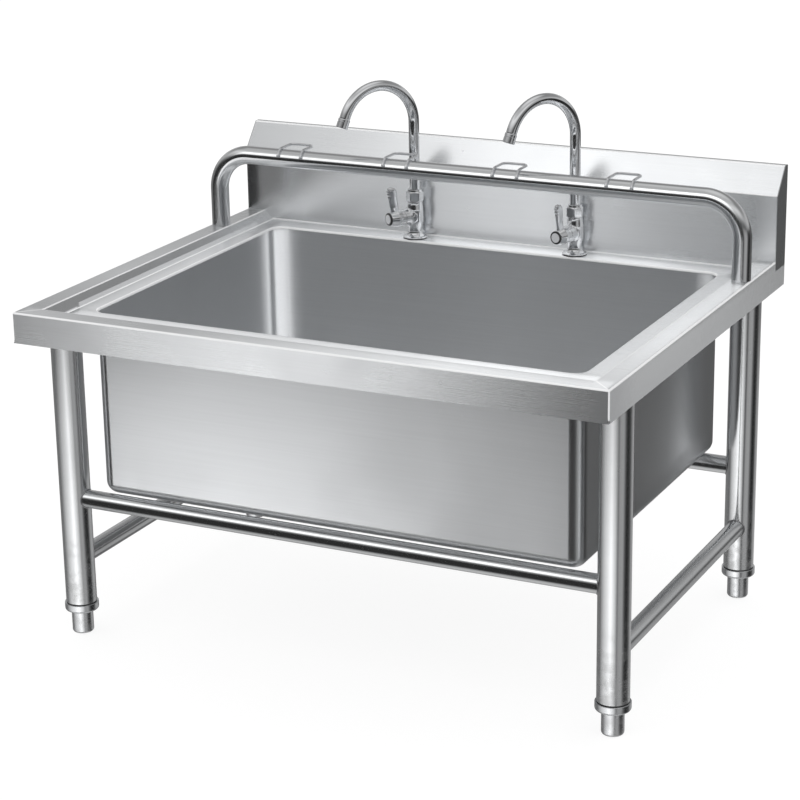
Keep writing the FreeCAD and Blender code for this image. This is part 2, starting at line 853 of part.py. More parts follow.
def make_bar():
    bore = s.bar_radius - s.bar_wall
    cut("mop_bar", arch("bar_solid", s.bar_radius, rim_z), arch("bar_bore", bore, rim_z - s.overrun))
    plugs = []
    nuts = []
    for side in (-1, 1):
        x = bar_x * side
        under = rim_z - s.sheet_gauge
        plug = put(cylinder("bar_plug", bore - s.fit_gap, s.bar_plug_height), x, bar_y, rim_z)
        stud_length = s.bar_stud_drop + s.sheet_gauge + s.bar_plug_height / 2
        stud = cylinder("bar_stud", s.bar_stud_radius, stud_length)
        put(stud, x, bar_y, under - s.bar_stud_drop)
        plugs.append(fuse("bar_fixing", [plug, stud]))
        nut = put(hexagon("bar_nut", s.bar_nut_radius, s.bar_nut_height), x, bar_y, under - s.bar_nut_height)
        bore_tool = cylinder("nut_bore", s.bar_stud_radius + s.fit_gap, s.bar_nut_height + s.overrun)
        put(bore_tool, x, bar_y, under - s.bar_nut_height - s.overrun / 2)
        nuts.append(cut("bar_nut_cut", nut, bore_tool))
    group("bar_plugs", plugs)
    group("bar_nuts", nuts)


def make_clip(label, x):
    """A wire loop that lies over the bar and stands out behind it."""
    lift = s.clip_lift_angle
    hug = s.bar_radius + s.wire_radius + s.fit_gap
    half = s.clip_width / 2
    start_y = bar_y + hug * cosine(lift)
    start_z = bar_z + hug * sine(lift)
    bend_y = start_y + s.clip_reach * sine(lift)
    bend_at_z = start_z - s.clip_reach * cosine(lift)
    pieces = []
    for side in (-1, 1):
        leg = x + half * side
        hook = elbow("clip_hook", hug, s.wire_radius, s.clip_wrap_angle)
        pieces.append(put(hook, leg, bar_y, bar_z, FACING_SIDE + " * " + turned(lift)))
        run = cylinder("clip_run", s.wire_radius, s.clip_reach)
        pieces.append(put(run, leg, start_y, start_z, turned(lift - 180, "1; 0; 0")))
        corner = elbow("clip_corner", s.clip_corner, s.wire_radius, 90)
        facing = turned(lift - 90, "1; 0; 0")
        if side < 0:
            facing = facing + " * " + turned(90)
        pieces.append(put(corner, leg - s.clip_corner * side, bend_y, bend_at_z, facing))
    across = s.clip_width - s.clip_corner * 2
    back = cylinder("clip_back", s.wire_radius, across)
    put(back, x - across / 2, bend_y + s.clip_corner * sine(lift),
        bend_at_z - s.clip_corner * cosine(lift), ALONG_X)
    pieces.append(back)
    fuse(label, pieces)


def make_clips():
    for number in range(CLIP_COUNT):
        steps = number - (CLIP_COUNT - 1) / 2
        make_clip("clip_%d" % (number + 1), s.clip_shift + s.clip_pitch * steps)


# The taps

class Tap:
    """One pillar tap. Its own frame stands on the deck, with the nose towards the front."""

    def __init__(self, name, side, nose_turn, spout_turn):
        self.name = name
        self.x = s.tap_spacing * side / 2
        self.nose_turn = nose_turn
        self.spout_turn = spout_turn

    def label(self, piece):
        return "tap_%s_%s" % (self.name, piece)

    def upright(self, item, turn, level=0):
        """Stands a piece on the tap's axis, level above the deck."""
        return put(item, self.x, tap_y, deck_z + level, turned(-turn))

    def along_nose(self, item):
        """Lays a piece along the nose's axis, its own Z pointing out of the tap."""
        rotation = turned(-self.nose_turn) + " * " + FACING_FRONT
        return put(item, self.x, tap_y, deck_z + s.nose_height, rotation)

    def make_body(self):
        base = s.tap_gasket
        flange_top = base + s.tap_flange_edge
        waist_top = s.tap_waist_height + s.tap_waist_length
        thread_top = s.tap_shoulder_height + s.tap_thread_length
        tail_top = s.tap_tail_length - s.tap_shank_length
        relief_top = tail_top + s.tap_relief_height
        body = revolve(self.label("body"), [
            (0, -s.tap_shank_length), (s.tap_shank_radius, -s.tap_shank_length),
            (s.tap_shank_radius, tail_top), (s.tap_relief_radius, tail_top),
            (s.tap_relief_radius, relief_top), (s.tap_shank_radius, relief_top),
            (s.tap_shank_radius, base), (s.tap_flange_radius, base), (s.tap_flange_radius, flange_top),
            (s.tap_neck_radius, s.tap_neck_height), (s.tap_waist_radius, s.tap_waist_height),
            (s.tap_waist_radius, waist_top), (s.tap_shoulder_radius, s.tap_shoulder_height),
            (s.tap_thread_radius, s.tap_shoulder_height), (s.tap_thread_radius, thread_top),
            (0, thread_top),
        ])
        round_edges(body, circle_at(s.tap_neck_radius, s.tap_neck_height), s.tap_flange_radius / 3)
        boss = new_sketch(body, "XZ")
        circle(boss, 0, s.nose_height, s.nose_boss_radius)
        pad(body, boss, s.nose_boss_reach)
        nose_bore = new_sketch(body, "XZ", s.nose_boss_reach)
        circle(nose_bore, 0, s.nose_height, s.cartridge_radius + s.fit_gap)
        pocket(body, nose_bore, s.nose_boss_reach)
        tail_bore = new_sketch(body, "XY", thread_top)
        circle(tail_bore, 0, 0, s.spout_radius + s.running_gap)
        pocket(body, tail_bore, s.tail_depth + s.seat_gap)
        waterway = new_sketch(body, "XY", -s.tap_shank_length)
        circle(waterway, 0, 0, s.tap_waterway_radius)
        pocket(body, waterway, s.tap_shank_length + thread_top, backwards=True)
        self.upright(body, self.nose_turn)

    def make_gasket(self):
        inner = s.tap_shank_radius + s.fit_gap
        outer = s.tap_flange_radius - s.seat_gap
        gasket = revolve("tap_gasket", [
            (inner, 0), (outer, 0), (outer, s.tap_gasket), (inner, s.tap_gasket),
        ])
        return self.upright(gasket, self.nose_turn)

    def make_lock_nut(self):
        top = -s.sheet_gauge - s.lock_nut_height
        nut = self.upright(hexagon("lock_nut", s.lock_nut_radius, s.lock_nut_height), self.nose_turn, top)
        bore = cylinder("lock_nut_bore", s.tap_shank_radius + s.fit_gap, s.lock_nut_height + s.overrun)
        self.upright(bore, self.nose_turn, top - s.overrun / 2)
        return cut("lock_nut_cut", nut, bore)

    def make_cartridge(self):
        bore = s.spindle_radius + s.running_gap
        seat = s.nose_boss_reach + s.fit_gap
        end = seat + s.bonnet_length
        cartridge = revolve(self.label("cartridge"), [
            (bore, s.cartridge_start), (s.cartridge_radius, s.cartridge_start), (s.cartridge_radius, seat),
            (s.bonnet_radius, seat), (s.bonnet_radius, end), (bore, end),
        ])
        self.along_nose(cartridge)
        return end

    def make_lever(self, bonnet_end):
        """The lever's hub, its blade, and what turns with them."""
        back = bonnet_end + s.seat_gap
        web = back + s.hub_web
        front = back + s.hub_length
        bore = s.spindle_radius + s.fit_gap
        handle = revolve(self.label("lever"), [
            (bore, back), (s.hub_back_radius, back), (s.hub_back_radius, back + s.hub_belly),
            (s.hub_front_radius, front),
            (s.hub_recess_radius, front), (s.hub_recess_radius, web), (bore, web),
        ])
        self.add_blade(handle, back)
        self.along_nose(handle)
        spindle = revolve(self.label("spindle"), [
            (s.screw_radius + s.fit_gap, s.spindle_start), (s.spindle_radius, s.spindle_start),
            (s.spindle_radius, web), (s.screw_radius + s.fit_gap, web),
        ])
        self.along_nose(spindle)
        head = web + s.fit_gap
        screw = revolve(self.label("screw"), [
            (0, head - s.screw_length), (s.screw_radius, head - s.screw_length), (s.screw_radius, head),
            (s.screw_head_radius, head), (s.screw_head_radius, head + s.screw_head_height),
            (0, head + s.screw_head_height),
        ])
        self.along_nose(screw)
        plug = s.hub_recess_radius - s.fit_gap
        plug_end = head + s.screw_head_height + s.seat_gap
        face = front + s.fit_gap + s.button_length
        pocket_end = face - s.disc_sink
        ring = revolve(self.label("button"), [
            (0, plug_end), (plug, plug_end), (plug, front + s.fit_gap),
            (s.hub_front_radius, front + s.fit_gap), (s.hub_front_radius, face),
            (s.disc_radius + s.fit_gap, face), (s.disc_radius + s.fit_gap, pocket_end), (0, pocket_end),
        ])
        self.along_nose(ring)
        disc = cylinder(self.label("index_disc"), s.disc_radius, s.disc_length)
        rotation = turned(-self.nose_turn) + " * " + FACING_FRONT
        reach = pocket_end + s.fit_gap
        put(disc, self.x - reach * sine(self.nose_turn), tap_y - reach * cosine(self.nose_turn),
            deck_z + s.nose_height, rotation)

    def add_blade(self, handle, back):
        """A blade in the plane of the nose's axis. It widens and leans out towards its tip."""
        root_rise = (s.hub_recess_radius + s.hub_front_radius) / 2

        def point(rise_share, width_share):
            rise = root_rise + (s.lever_rise - root_rise) * rise_share
            width = s.lever_root_width + (s.lever_tip_width - s.lever_root_width) * rise_share
            lean = s.lever_lean * rise_share + s.lever_lean / 2
            return rise, back + lean + width * width_share

        outline = [point(*shares) for shares in LEVER_BACK_SHARES + LEVER_FRONT_SHARES]
        half = s.lever_thickness / 2
        blade = new_sketch(handle, "YZ", -half)
        polygon(blade, outline)
        pad(handle, blade, s.lever_thickness)
        grooves = new_sketch(handle, "YZ", -half - s.overrun)
        for share in LEVER_GROOVE_SHARES:
            rise, front = point(share, 1)
            circle(grooves, rise, front + s.lever_groove / 2, s.lever_groove)
        pocket(handle, grooves, s.lever_thickness + s.overrun * 2, backwards=True)

    def make_spout_nut(self):
        """The hexagon nut, turned down at its top to a chamfer and a short neck."""
        low = s.tap_shoulder_height + s.fit_gap
        top = low + s.spout_nut_height
        cavity = s.tap_thread_radius + s.fit_gap
        bore = s.spout_radius + s.running_gap
        ceiling = top - s.spout_nut_lip
        shoulder = top - s.spout_nut_shoulder
        form = revolve("nut_form", [
            (cavity, low), (s.spout_nut_radius, low), (s.spout_nut_radius, shoulder),
            (s.spout_nut_neck_radius, shoulder + s.spout_nut_shoulder / 3),
            (s.spout_nut_neck_radius, top), (bore, top), (bore, ceiling), (cavity, ceiling),
        ])
        self.upright(form, self.nose_turn)
        flats = hexagon("nut_flats", s.spout_nut_corner, s.spout_nut_height)
        common(self.label("spout_nut"), [form, self.upright(flats, self.nose_turn, low)])

    def make_spout(self):
        thread_top = s.tap_shoulder_height + s.tap_thread_length
        low = thread_top - s.tail_depth
        outer = self.neck("spout_solid", s.spout_radius, low, s.spout_end_length)
        ceiling = s.tap_shoulder_height + s.fit_gap + s.spout_nut_height - s.spout_nut_lip
        collar_height = ceiling - thread_top - s.seat_gap * 2
        collar = cylinder("spout_collar", s.spout_collar_radius, collar_height)
        self.upright(collar, self.spout_turn, thread_top + s.seat_gap)
        bore = s.spout_radius - s.spout_wall
        inner = self.neck("spout_bore", bore, low - s.overrun, s.spout_end_length + s.overrun)
        cut(self.label("spout"), fuse("spout_outer", [outer, collar]), inner)
        aerator = cylinder("aerator_solid", s.aerator_radius, s.aerator_length)
        self.at_spout_end(aerator, s.spout_end_length)
        recess = cylinder("aerator_recess", bore, s.aerator_recess + s.overrun)
        self.at_spout_end(recess, s.spout_end_length + s.aerator_length - s.aerator_recess)
        cut(self.label("aerator"), aerator, recess)

    def in_spout_plane(self, item, reach, level, rotation):
        """Places a piece at a reach from the tap's axis, in the plane of the swan neck."""
        turn = self.spout_turn
        return put(item, self.x - reach * sine(turn), tap_y - reach * cosine(turn), deck_z + level,
                   turned(-turn) + " * " + rotation)

    def at_spout_end(self, item, along):
        """Places a piece on the straight end of the spout, along it from the bend."""
        angle = s.spout_bend_angle
        reach = s.spout_bend * (1 - cosine(angle)) + sine(angle) * along
        level = s.spout_bend_height + s.spout_bend * sine(angle) + cosine(angle) * along
        return self.in_spout_plane(item, reach, level, turned(angle, "1; 0; 0"))

    def neck(self, label, radius, low, end_length):
        """The spout's line as a solid round: a riser, the bend and the straight end."""
        riser = cylinder("spout_riser", radius, s.spout_bend_height - low)
        self.upright(riser, self.spout_turn, low)
        bend = elbow("spout_bend", s.spout_bend, radius, s.spout_bend_angle)
        self.in_spout_plane(bend, s.spout_bend, s.spout_bend_height, FACING_SIDE)
        end = self.at_spout_end(cylinder("spout_end", radius, end_length), 0)
        return fuse(label, [riser, bend, end])


def make_taps():
    taps = [Tap("left", -1, s.left_nose_turn, s.left_spout_turn),
            Tap("right", 1, s.right_nose_turn, s.right_spout_turn)]
    gaskets = []
    nuts = []
    for tap in taps:
        tap.make_body()
        gaskets.append(tap.make_gasket())
        nuts.append(tap.make_lock_nut())
        tap.make_lever(tap.make_cartridge())
        tap.make_spout_nut()
        tap.make_spout()
    group("tap_gaskets", gaskets)
    group("tap_lock_nuts", nuts)


# The waste in the bowl floor

def at_waste(item):
    """Stands a piece on the waste's axis, with its own zero at the bowl floor."""
    return put(item, 0, waste_y, floor_z)


def make_waste():
    inner = s.waste_radius - s.waste_wall
    ledge = inner - s.waste_ledge_width
    bottom = -s.waste_depth
    outlet_low = bottom - s.waste_wall - s.outlet_length
    outlet_bore = s.outlet_radius - s.waste_wall
    top = s.waste_flange_thickness
    at_waste(revolve("waste_body", [
        (outlet_bore, outlet_low), (s.outlet_radius, outlet_low), (s.outlet_radius, bottom - s.waste_wall),
        (s.waste_radius, bottom - s.waste_wall), (s.waste_radius, s.fit_gap),
        (s.waste_flange_radius, s.fit_gap), (s.waste_flange_radius, top / 2),
        (s.waste_flange_radius - top, top), (inner + top, top), (inner, s.fit_gap),
        (inner, -s.waste_ledge_depth), (ledge, -s.waste_ledge_depth), (ledge, bottom),
        (outlet_bore, bottom),
    ]))
    bore = s.waste_radius + s.fit_gap
    gasket_top = -s.sheet_gauge
    gasket_low = gasket_top - s.waste_gasket
    for label, high, low, width in (
            ("waste_gasket", gasket_top, gasket_low, s.ring_width),
            ("waste_ring_nut", gasket_low, gasket_low - s.ring_height, s.ring_width - s.fit_gap)):
        at_waste(revolve(label, rectangle(bore, low, bore + width, high)))
    tail_top = outlet_low - s.fit_gap
    tail_low = tail_top - s.tailpiece_length
    tail_bore = s.tailpiece_radius - s.waste_wall
    step_radius = s.tailpiece_radius + s.tailpiece_step
    free_top = tail_low + s.tailpiece_free_length
    collar_low = tail_top - s.waste_gasket
    at_waste(revolve("waste_tailpiece", [
        (tail_bore, tail_low), (s.tailpiece_radius, tail_low), (s.tailpiece_radius, free_top),
        (step_radius, free_top), (step_radius, collar_low), (s.outlet_radius, collar_low),
        (s.outlet_radius, tail_top), (tail_bore, tail_top),
    ]))
    nut_bore = s.outlet_radius + s.fit_gap
    nut_low = collar_low - s.fit_gap - s.waste_wall
    nut_top = nut_low + s.tail_nut_height
    throat = step_radius + s.fit_gap
    at_waste(revolve("waste_tail_nut", [
        (throat, nut_low), (nut_bore + s.tail_nut_width, nut_low), (nut_bore + s.tail_nut_width, nut_top),
        (nut_bore, nut_top), (nut_bore, nut_low + s.waste_wall), (throat, nut_low + s.waste_wall),
    ]))


def make_basket():
    """The lift-out strainer, which rests on the ledge inside the waste."""
    rim = s.waste_radius - s.waste_wall - s.seat_gap - s.fit_gap
    low = basket_z - s.basket_depth
    floor_top = low + s.basket_wall
    rim_top = basket_z + s.basket_wall
    inner = s.basket_radius - s.basket_wall
    basket = revolve("basket", [
        (0, low), (s.basket_radius, low), (s.basket_radius, basket_z), (rim, basket_z),
        (rim, rim_top), (inner, rim_top), (inner, floor_top), (0, floor_top),
    ])
    for row, count in ((s.basket_inner_row, BASKET_INNER_HOLES), (s.basket_outer_row, BASKET_OUTER_HOLES)):
        hole = new_sketch(basket, "XY", low)
        circle(hole, row, 0, s.basket_hole_radius)
        feature = pocket(basket, hole, s.basket_wall + s.basket_wall, backwards=True)
        pattern = basket.newObject("PartDesign::PolarPattern", "basket_pattern")
        pattern.Originals = [feature]
        pattern.Axis = (hole, ["N_Axis"])
        pattern.Angle = 360
        pattern.Occurrences = count
        basket.Tip = pattern
        doc.recompute()
    at_waste(basket)
    post_low = floor_top + s.fit_gap
    post_top = post_low + s.post_height
    knob = revolve("basket_knob", [
        (0, post_low), (s.post_radius, post_low), (s.post_radius, post_top), (s.knob_radius, post_top),
        (s.knob_radius, post_top + s.knob_height), (0, post_top + s.knob_height),
    ])
    round_edges(knob, circle_at(s.knob_radius, post_top + s.knob_height), s.knob_height / 2)
    at_waste(knob)


def node_names():
    """Every piece that is written, in order."""
    names = ["worktop", "backsplash", "backsplash_end_left", "backsplash_end_right", "bowl",
             "side_shelf_left", "side_shelf_right", "front_stiffener", "back_stiffener"]
    names += ["leg_" + corner for corner in CORNERS]
    names += ["foot_" + corner for corner in CORNERS]
    names += ["leg_sockets", "leg_plugs", "rail_front", "rail_back", "rail_left", "rail_right"]
    names += ["mop_bar", "bar_plugs", "bar_nuts"]
    names += ["clip_%d" % (number + 1) for number in range(CLIP_COUNT)]
    for side in ("left", "right"):
        names += ["tap_%s_%s" % (side, piece) for piece in (
            "body", "cartridge", "spindle", "lever", "screw", "button", "index_disc", "spout_nut",
            "spout", "aerator")]
    names += ["tap_gaskets", "tap_lock_nuts", "waste_body", "waste_gasket", "waste_ring_nut",
              "waste_tailpiece", "waste_tail_nut", "basket", "basket_knob"]
    return names


def write_parts():
    """Checks the whole document, then writes one file for each piece."""
    doc.recompute()
    failed = [item.Label for item in doc.Objects if "Invalid" in item.State or "Error" in item.State]
    if failed:
        raise ValueError("failed objects: %s" % failed)
    pieces = {}
    for name in node_names():
        piece = doc.getObjectsByLabel(name)[0]
        if piece.Shape.isNull() or not piece.Shape.isValid() or not piece.Shape.Solids:
            raise ValueError("bad shape: %s" % name)
        pieces[name] = piece
    os.makedirs("parts", exist_ok=True)
    for name, piece in pieces.items():
        piece.Shape.exportStep("parts/%s.step" % name)
        print("%-24s %d solid, %.0f mm3" % (name, len(piece.Shape.Solids), piece.Shape.Volume))
    print(len(pieces), "pieces")


make_worktop()
make_backsplash()
make_bowl()
make_shelves()
make_frame()
make_bar()
make_clips()
make_taps()
make_waste()
make_basket()
write_parts()
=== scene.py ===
import logging
import math
from dataclasses import dataclass, field
from enum import Enum
from typing import Callable, Iterable, Sequence

import bmesh
import bpy
import numpy as np
from mathutils import Matrix, Vector


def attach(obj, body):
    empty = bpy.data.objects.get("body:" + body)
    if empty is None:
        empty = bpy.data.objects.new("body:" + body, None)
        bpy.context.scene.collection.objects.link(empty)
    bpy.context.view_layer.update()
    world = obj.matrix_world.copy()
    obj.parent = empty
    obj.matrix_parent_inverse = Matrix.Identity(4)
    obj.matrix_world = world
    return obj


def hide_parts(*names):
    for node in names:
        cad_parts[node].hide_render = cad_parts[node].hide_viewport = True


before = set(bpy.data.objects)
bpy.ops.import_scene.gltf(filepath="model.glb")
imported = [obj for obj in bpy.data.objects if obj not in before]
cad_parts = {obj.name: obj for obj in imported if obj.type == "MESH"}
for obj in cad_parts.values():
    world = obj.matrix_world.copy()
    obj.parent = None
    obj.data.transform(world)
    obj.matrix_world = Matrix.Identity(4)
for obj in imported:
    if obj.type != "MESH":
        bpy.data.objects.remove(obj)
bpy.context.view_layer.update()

log = logging.getLogger("mop_sink")
Array = np.ndarray
Stops = tuple[tuple[float, float], ...]

MM = 0.001
# In metres: nearer points are one, shorter edges go, and the triangles of a CAD node are joined.
DOUBLES = 2e-6
SLIVERS = 1e-7
WELD_REACH = 1e-5
# Below this square of a length, in square millimetres, two points or directions are the same.
TINY = 1e-12


# Surfaces worked out on grids


@dataclass
class Skin:
    """Grid surfaces, in millimetres, that are joined into one closed piece."""

    points: list[Array] = field(default_factory=list)
    quads: list[Array] = field(default_factory=list)
    uvs: list[Array] = field(default_factory=list)
    count: int = 0

    def add(self, grid: Array, close_u: bool = False, close_v: bool = True) -> "Skin":
        """Adds one grid of points as quads.

        Each cell (i, j) becomes the quad (i, j), (i+1, j), (i+1, j+1), (i, j+1). U is the mean length
        along the first index and V the mean length along the second, both in metres.

        Args:
            grid: points of shape (nu, nv, 3).
            close_u: joins the last row to the first.
            close_v: joins the last column to the first.

        Returns:
            The skin itself.
        """
        nu, nv = grid.shape[:2]
        i = np.arange(nu if close_u else nu - 1)[:, None]
        j = np.arange(nv if close_v else nv - 1)[None, :]
        i2, j2 = (i + 1) % nu, (j + 1) % nv
        cells = np.stack([i * nv + j, i2 * nv + j, i2 * nv + j2, i * nv + j2], -1)
        self.quads.append(cells.reshape(-1, 4) + self.count)
        step_u = np.linalg.norm(np.roll(grid, -1, 0) - grid, axis=2).mean(1)
        step_v = np.linalg.norm(np.roll(grid, -1, 1) - grid, axis=2).mean(0)
        u = np.concatenate([[0.0], np.cumsum(step_u)]) * MM
        v = np.concatenate([[0.0], np.cumsum(step_v)]) * MM
        i, j = np.broadcast_arrays(i, j)
        corner = [np.stack([u[i + a], v[j + b]], -1) for a, b in ((0, 0), (1, 0), (1, 1), (0, 1))]
        self.uvs.append(np.stack(corner, 2).reshape(-1, 2))
        self.points.append(grid.reshape(-1, 3))
        self.count += nu * nv
        return self

    def build(self, name: str, sharp: float = 38.0) -> bpy.types.Object:
        """Makes the mesh object: doubles merged, faces outward, smooth with sharp edges kept.

        Args:
            name: the piece's name.
            sharp: angle in degrees above which an edge stays sharp.

        Returns:
            The finished object at the origin.
        """
        mesh = bpy.data.meshes.new(name)
        points = np.concatenate(self.points) * MM
        quads = np.concatenate(self.quads)
        mesh.vertices.add(len(points))
        mesh.vertices.foreach_set("co", points.astype(np.float32).ravel())
        mesh.loops.add(quads.size)
        mesh.loops.foreach_set("vertex_index", quads.astype(np.int32).ravel())
        mesh.polygons.add(len(quads))
        mesh.polygons.foreach_set("loop_start", np.arange(0, quads.size, 4, dtype=np.int32))
        mesh.update(calc_edges=True)
        layer = mesh.uv_layers.new(name="Surface")
        layer.data.foreach_set("uv", np.concatenate(self.uvs).astype(np.float32).ravel())
        work = bmesh.new()
        work.from_mesh(mesh)
        bmesh.ops.remove_doubles(work, verts=work.verts, dist=DOUBLES)
        bmesh.ops.dissolve_degenerate(work, dist=SLIVERS, edges=work.edges)
        bmesh.ops.recalc_face_normals(work, faces=work.faces)
        work.to_mesh(mesh)
        work.free()
        mesh.shade_smooth()
        mesh.set_sharp_from_angle(angle=math.radians(sharp))
        piece = bpy.data.objects.new(name, mesh)
        bpy.context.scene.collection.objects.link(piece)
        weigh = piece.modifiers.new("Even shading", "WEIGHTED_NORMAL")
        weigh.mode = "FACE_AREA"
        weigh.keep_sharp = True
        return piece


def rounded(corners: Sequence[Sequence[float]], steps: int = 5, closed: bool = True) -> Array:
    """A line whose corners are replaced by arcs.

    The arc at a corner touches both legs at radius / tan(half the angle between them) from the
    corner, at most 0.49 of a leg, and turns evenly from one touching point to the other.

    Args:
        corners: points, each with its arc radius as one more number.
        steps: spans in each arc.
        closed: whether the last point leads back to the first.

    Returns:
        The points of the rounded line.
    """
    table = np.array(corners, float)
    points, radii = table[:, :-1], table[:, -1]
    out = []
    for k, (point, radius) in enumerate(zip(points, radii)):
        if radius <= 0 or (not closed and k in (0, len(points) - 1)):
            out.append(point[None])
            continue
        before, after = points[k - 1] - point, points[(k + 1) % len(points)] - point
        long_a, long_b = np.linalg.norm(before), np.linalg.norm(after)
        before, after = before / long_a, after / long_b
        half = math.acos(float(np.clip(before @ after, -1, 1))) / 2
        reach = min(radius / math.tan(half), 0.49 * long_a, 0.49 * long_b)
        size = reach * math.tan(half)
        middle = before + after
        centre = point + middle / np.linalg.norm(middle) * size / math.sin(half)
        first, last = (point + before * reach - centre) / size, (point + after * reach - centre) / size
        sweep = math.acos(float(np.clip(first @ last, -1, 1)))
        share = np.linspace(0, 1, steps + 1)[:, None]
        arc = (np.sin((1 - share) * sweep) * first + np.sin(share * sweep) * last) / math.sin(sweep)
        out.append(centre + size * arc)
    return np.concatenate(out)


def divided(line: Array, longest: float) -> Array:
    """Divides each span of a line evenly, so that none is longer than a length.

    A new point is first (1 - s) + last s, for the shares s of its span.

    Args:
        line: points of the line.
        longest: the longest span allowed.

    Returns:
        The points of the divided line.
    """
    spans = np.linalg.norm(np.diff(line, axis=0), axis=1)
    parts = np.maximum(np.ceil(spans / longest).astype(int), 1)
    ends = np.repeat(np.arange(len(spans)), parts)
    first = np.repeat(np.cumsum(parts) - parts, parts)
    share = ((np.arange(parts.sum()) - first) / np.repeat(parts, parts))[:, None]
    inner = line[ends] * (1 - share) + line[ends + 1] * share
    return np.concatenate([inner, line[-1:]])


def round_angles(count: int) -> Array:
    """Evenly spaced angles of a full turn, in radians."""
    return np.arange(count) * (2 * math.pi / count)


@dataclass(frozen=True)
class Placing:
    """A local frame: its origin and its axes along X, Y and Z, in millimetres."""

    origin: tuple[float, float, float]
    x_axis: tuple[float, float, float] = (1.0, 0.0, 0.0)
    y_axis: tuple[float, float, float] = (0.0, 1.0, 0.0)
    z_axis: tuple[float, float, float] = (0.0, 0.0, 1.0)

    def put(self, points: Array) -> Array:
        """Carries local points to the object's frame: origin + x times the X axis, and so on."""
        return np.array(self.origin) + points @ np.array([self.x_axis, self.y_axis, self.z_axis])


def turned(profile: Array, place: Placing, count: int = 64,
           shape: Callable[[Array, Array, Array], Array] | None = None) -> Array:
    """A profile of (radius, height) carried round the local Z axis.

    A point is (r cos a, r sin a, z). With a shape, r is what the shape gives for r, z and a.

    Args:
        profile: points (r, z).
        place: the frame that it stands in.
        count: steps of the full turn.
        shape: changes the radii by radius, height and angle.

    Returns:
        A grid with the profile along U and the turn along V.
    """
    angle = round_angles(count)[None, :]
    radius = np.repeat(profile[:, :1], count, 1)
    height = np.repeat(profile[:, 1:2], count, 1)
    if shape is not None:
        radius = shape(radius, height, angle)
    local = np.stack([radius * np.cos(angle), radius * np.sin(angle), height], -1)
    return place.put(local)


def carried_frames(path: Array) -> tuple[Array, Array]:
    """Two directions square to a path at each point, carried along it without twist.

    From one point to the next the normal is reflected twice: first in the plane between the two
    points, then in the plane between the two directions of the path.

    Args:
        path: points (n, 3) along the line.

    Returns:
        The normals and the binormals, each (n, 3).
    """
    along = np.gradient(path, axis=0)
    along /= np.linalg.norm(along, axis=1)[:, None]
    pick = np.eye(3)[np.argmin(np.abs(along[0]))]
    normal = np.cross(along[0], pick)
    normals = [normal / np.linalg.norm(normal)]
    for k in range(len(path) - 1):
        step = path[k + 1] - path[k]
        size = step @ step
        carried, heading = normals[-1], along[k]
        if size > TINY:
            carried = carried - step * (2 * (step @ carried) / size)
            heading = heading - step * (2 * (step @ heading) / size)
        change = along[k + 1] - heading
        size = change @ change
        if size > TINY:
            carried = carried - change * (2 * (change @ carried) / size)
        normals.append(carried / np.linalg.norm(carried))
    stack = np.array(normals)
    return stack, np.cross(along, stack)


def swept(path: Array, radius: Array, normal: Array, binormal: Array, count: int = 40) -> Array:
    """Circles along a path: centre + radius (cos a normal + sin a binormal) at each station.

    Args:
        path: the centres, (n, 3).
        radius: the circles' radii, (n,).
        normal: the first direction square to the path at each centre.
        binormal: the second one.
        count: steps round each circle.

    Returns:
        A grid with the path along U.
    """
    angle = round_angles(count)[None, :, None]
    ring = np.cos(angle) * normal[:, None] + np.sin(angle) * binormal[:, None]
    return path[:, None] + radius[:, None, None] * ring


def pipe(path: Array, outer: float, wall: float, count: int = 48, edge: float = 0.35) -> Array:
    """A tube with a wall: circles of the outer radius along the path and of the bore back again.

    At both ends the circles shrink by the edge size over the last bit of length, so that the rims
    are rounded.

    Args:
        path: the centre line.
        outer: outer radius.
        wall: wall thickness.
        count: steps round the tube.
        edge: size of the rounded rims.

    Returns:
        A grid that closes along U.
    """
    normal, binormal = carried_frames(path)
    first, last = path[1] - path[0], path[-1] - path[-2]
    lead = first / np.linalg.norm(first) * edge
    tail = last / np.linalg.norm(last) * edge
    line = np.concatenate([path[:1], path[:1] + lead, path[1:-1], path[-1:] - tail, path[-1:]])
    order = np.concatenate([[0, 0], np.arange(1, len(path) - 1), [-1, -1]])
    out = np.full(len(line), outer)
    out[[0, -1]] -= edge
    bore = np.full(len(line), outer - wall)
    stations = np.concatenate([line, line[::-1]])
    radii = np.concatenate([out, bore])
    turn = np.concatenate([order, order[::-1]])
    return swept(stations, radii, normal[turn], binormal[turn], count)


def wire(path: Array, radius: float, count: int = 20, dome: int = 5) -> Array:
    """A round wire with domed ends.

    In an end, at the angle s from the tip's plane, the radius is r cos s and the centre lies
    r (1 - sin s) back from the tip.

    Args:
        path: the middle line, from tip to tip.
        radius: the wire's radius r.
        count: steps round the wire.
        dome: circles in each end.

    Returns:
        A grid with the path along U.
    """
    normal, binormal = carried_frames(path)
    first, last = path[0] - path[1], path[-1] - path[-2]
    first, last = first / np.linalg.norm(first), last / np.linalg.norm(last)
    swing = np.linspace(math.pi / 2, 0, dome + 1)[:-1]
    lead = path[0] + first * (np.sin(swing)[:, None] - 1) * radius
    tail = path[-1] + last * (np.sin(swing[::-1])[:, None] - 1) * radius
    line = np.concatenate([lead, path[:1] - first * radius, path[1:-1], path[-1:] - last * radius, tail])
    radii = np.concatenate([np.cos(swing), np.ones(len(path)), np.cos(swing[::-1])]) * radius
    turn = np.clip(np.arange(len(line)) - dome, 0, len(path) - 1)
    return swept(line, radii, normal[turn], binormal[turn], count)


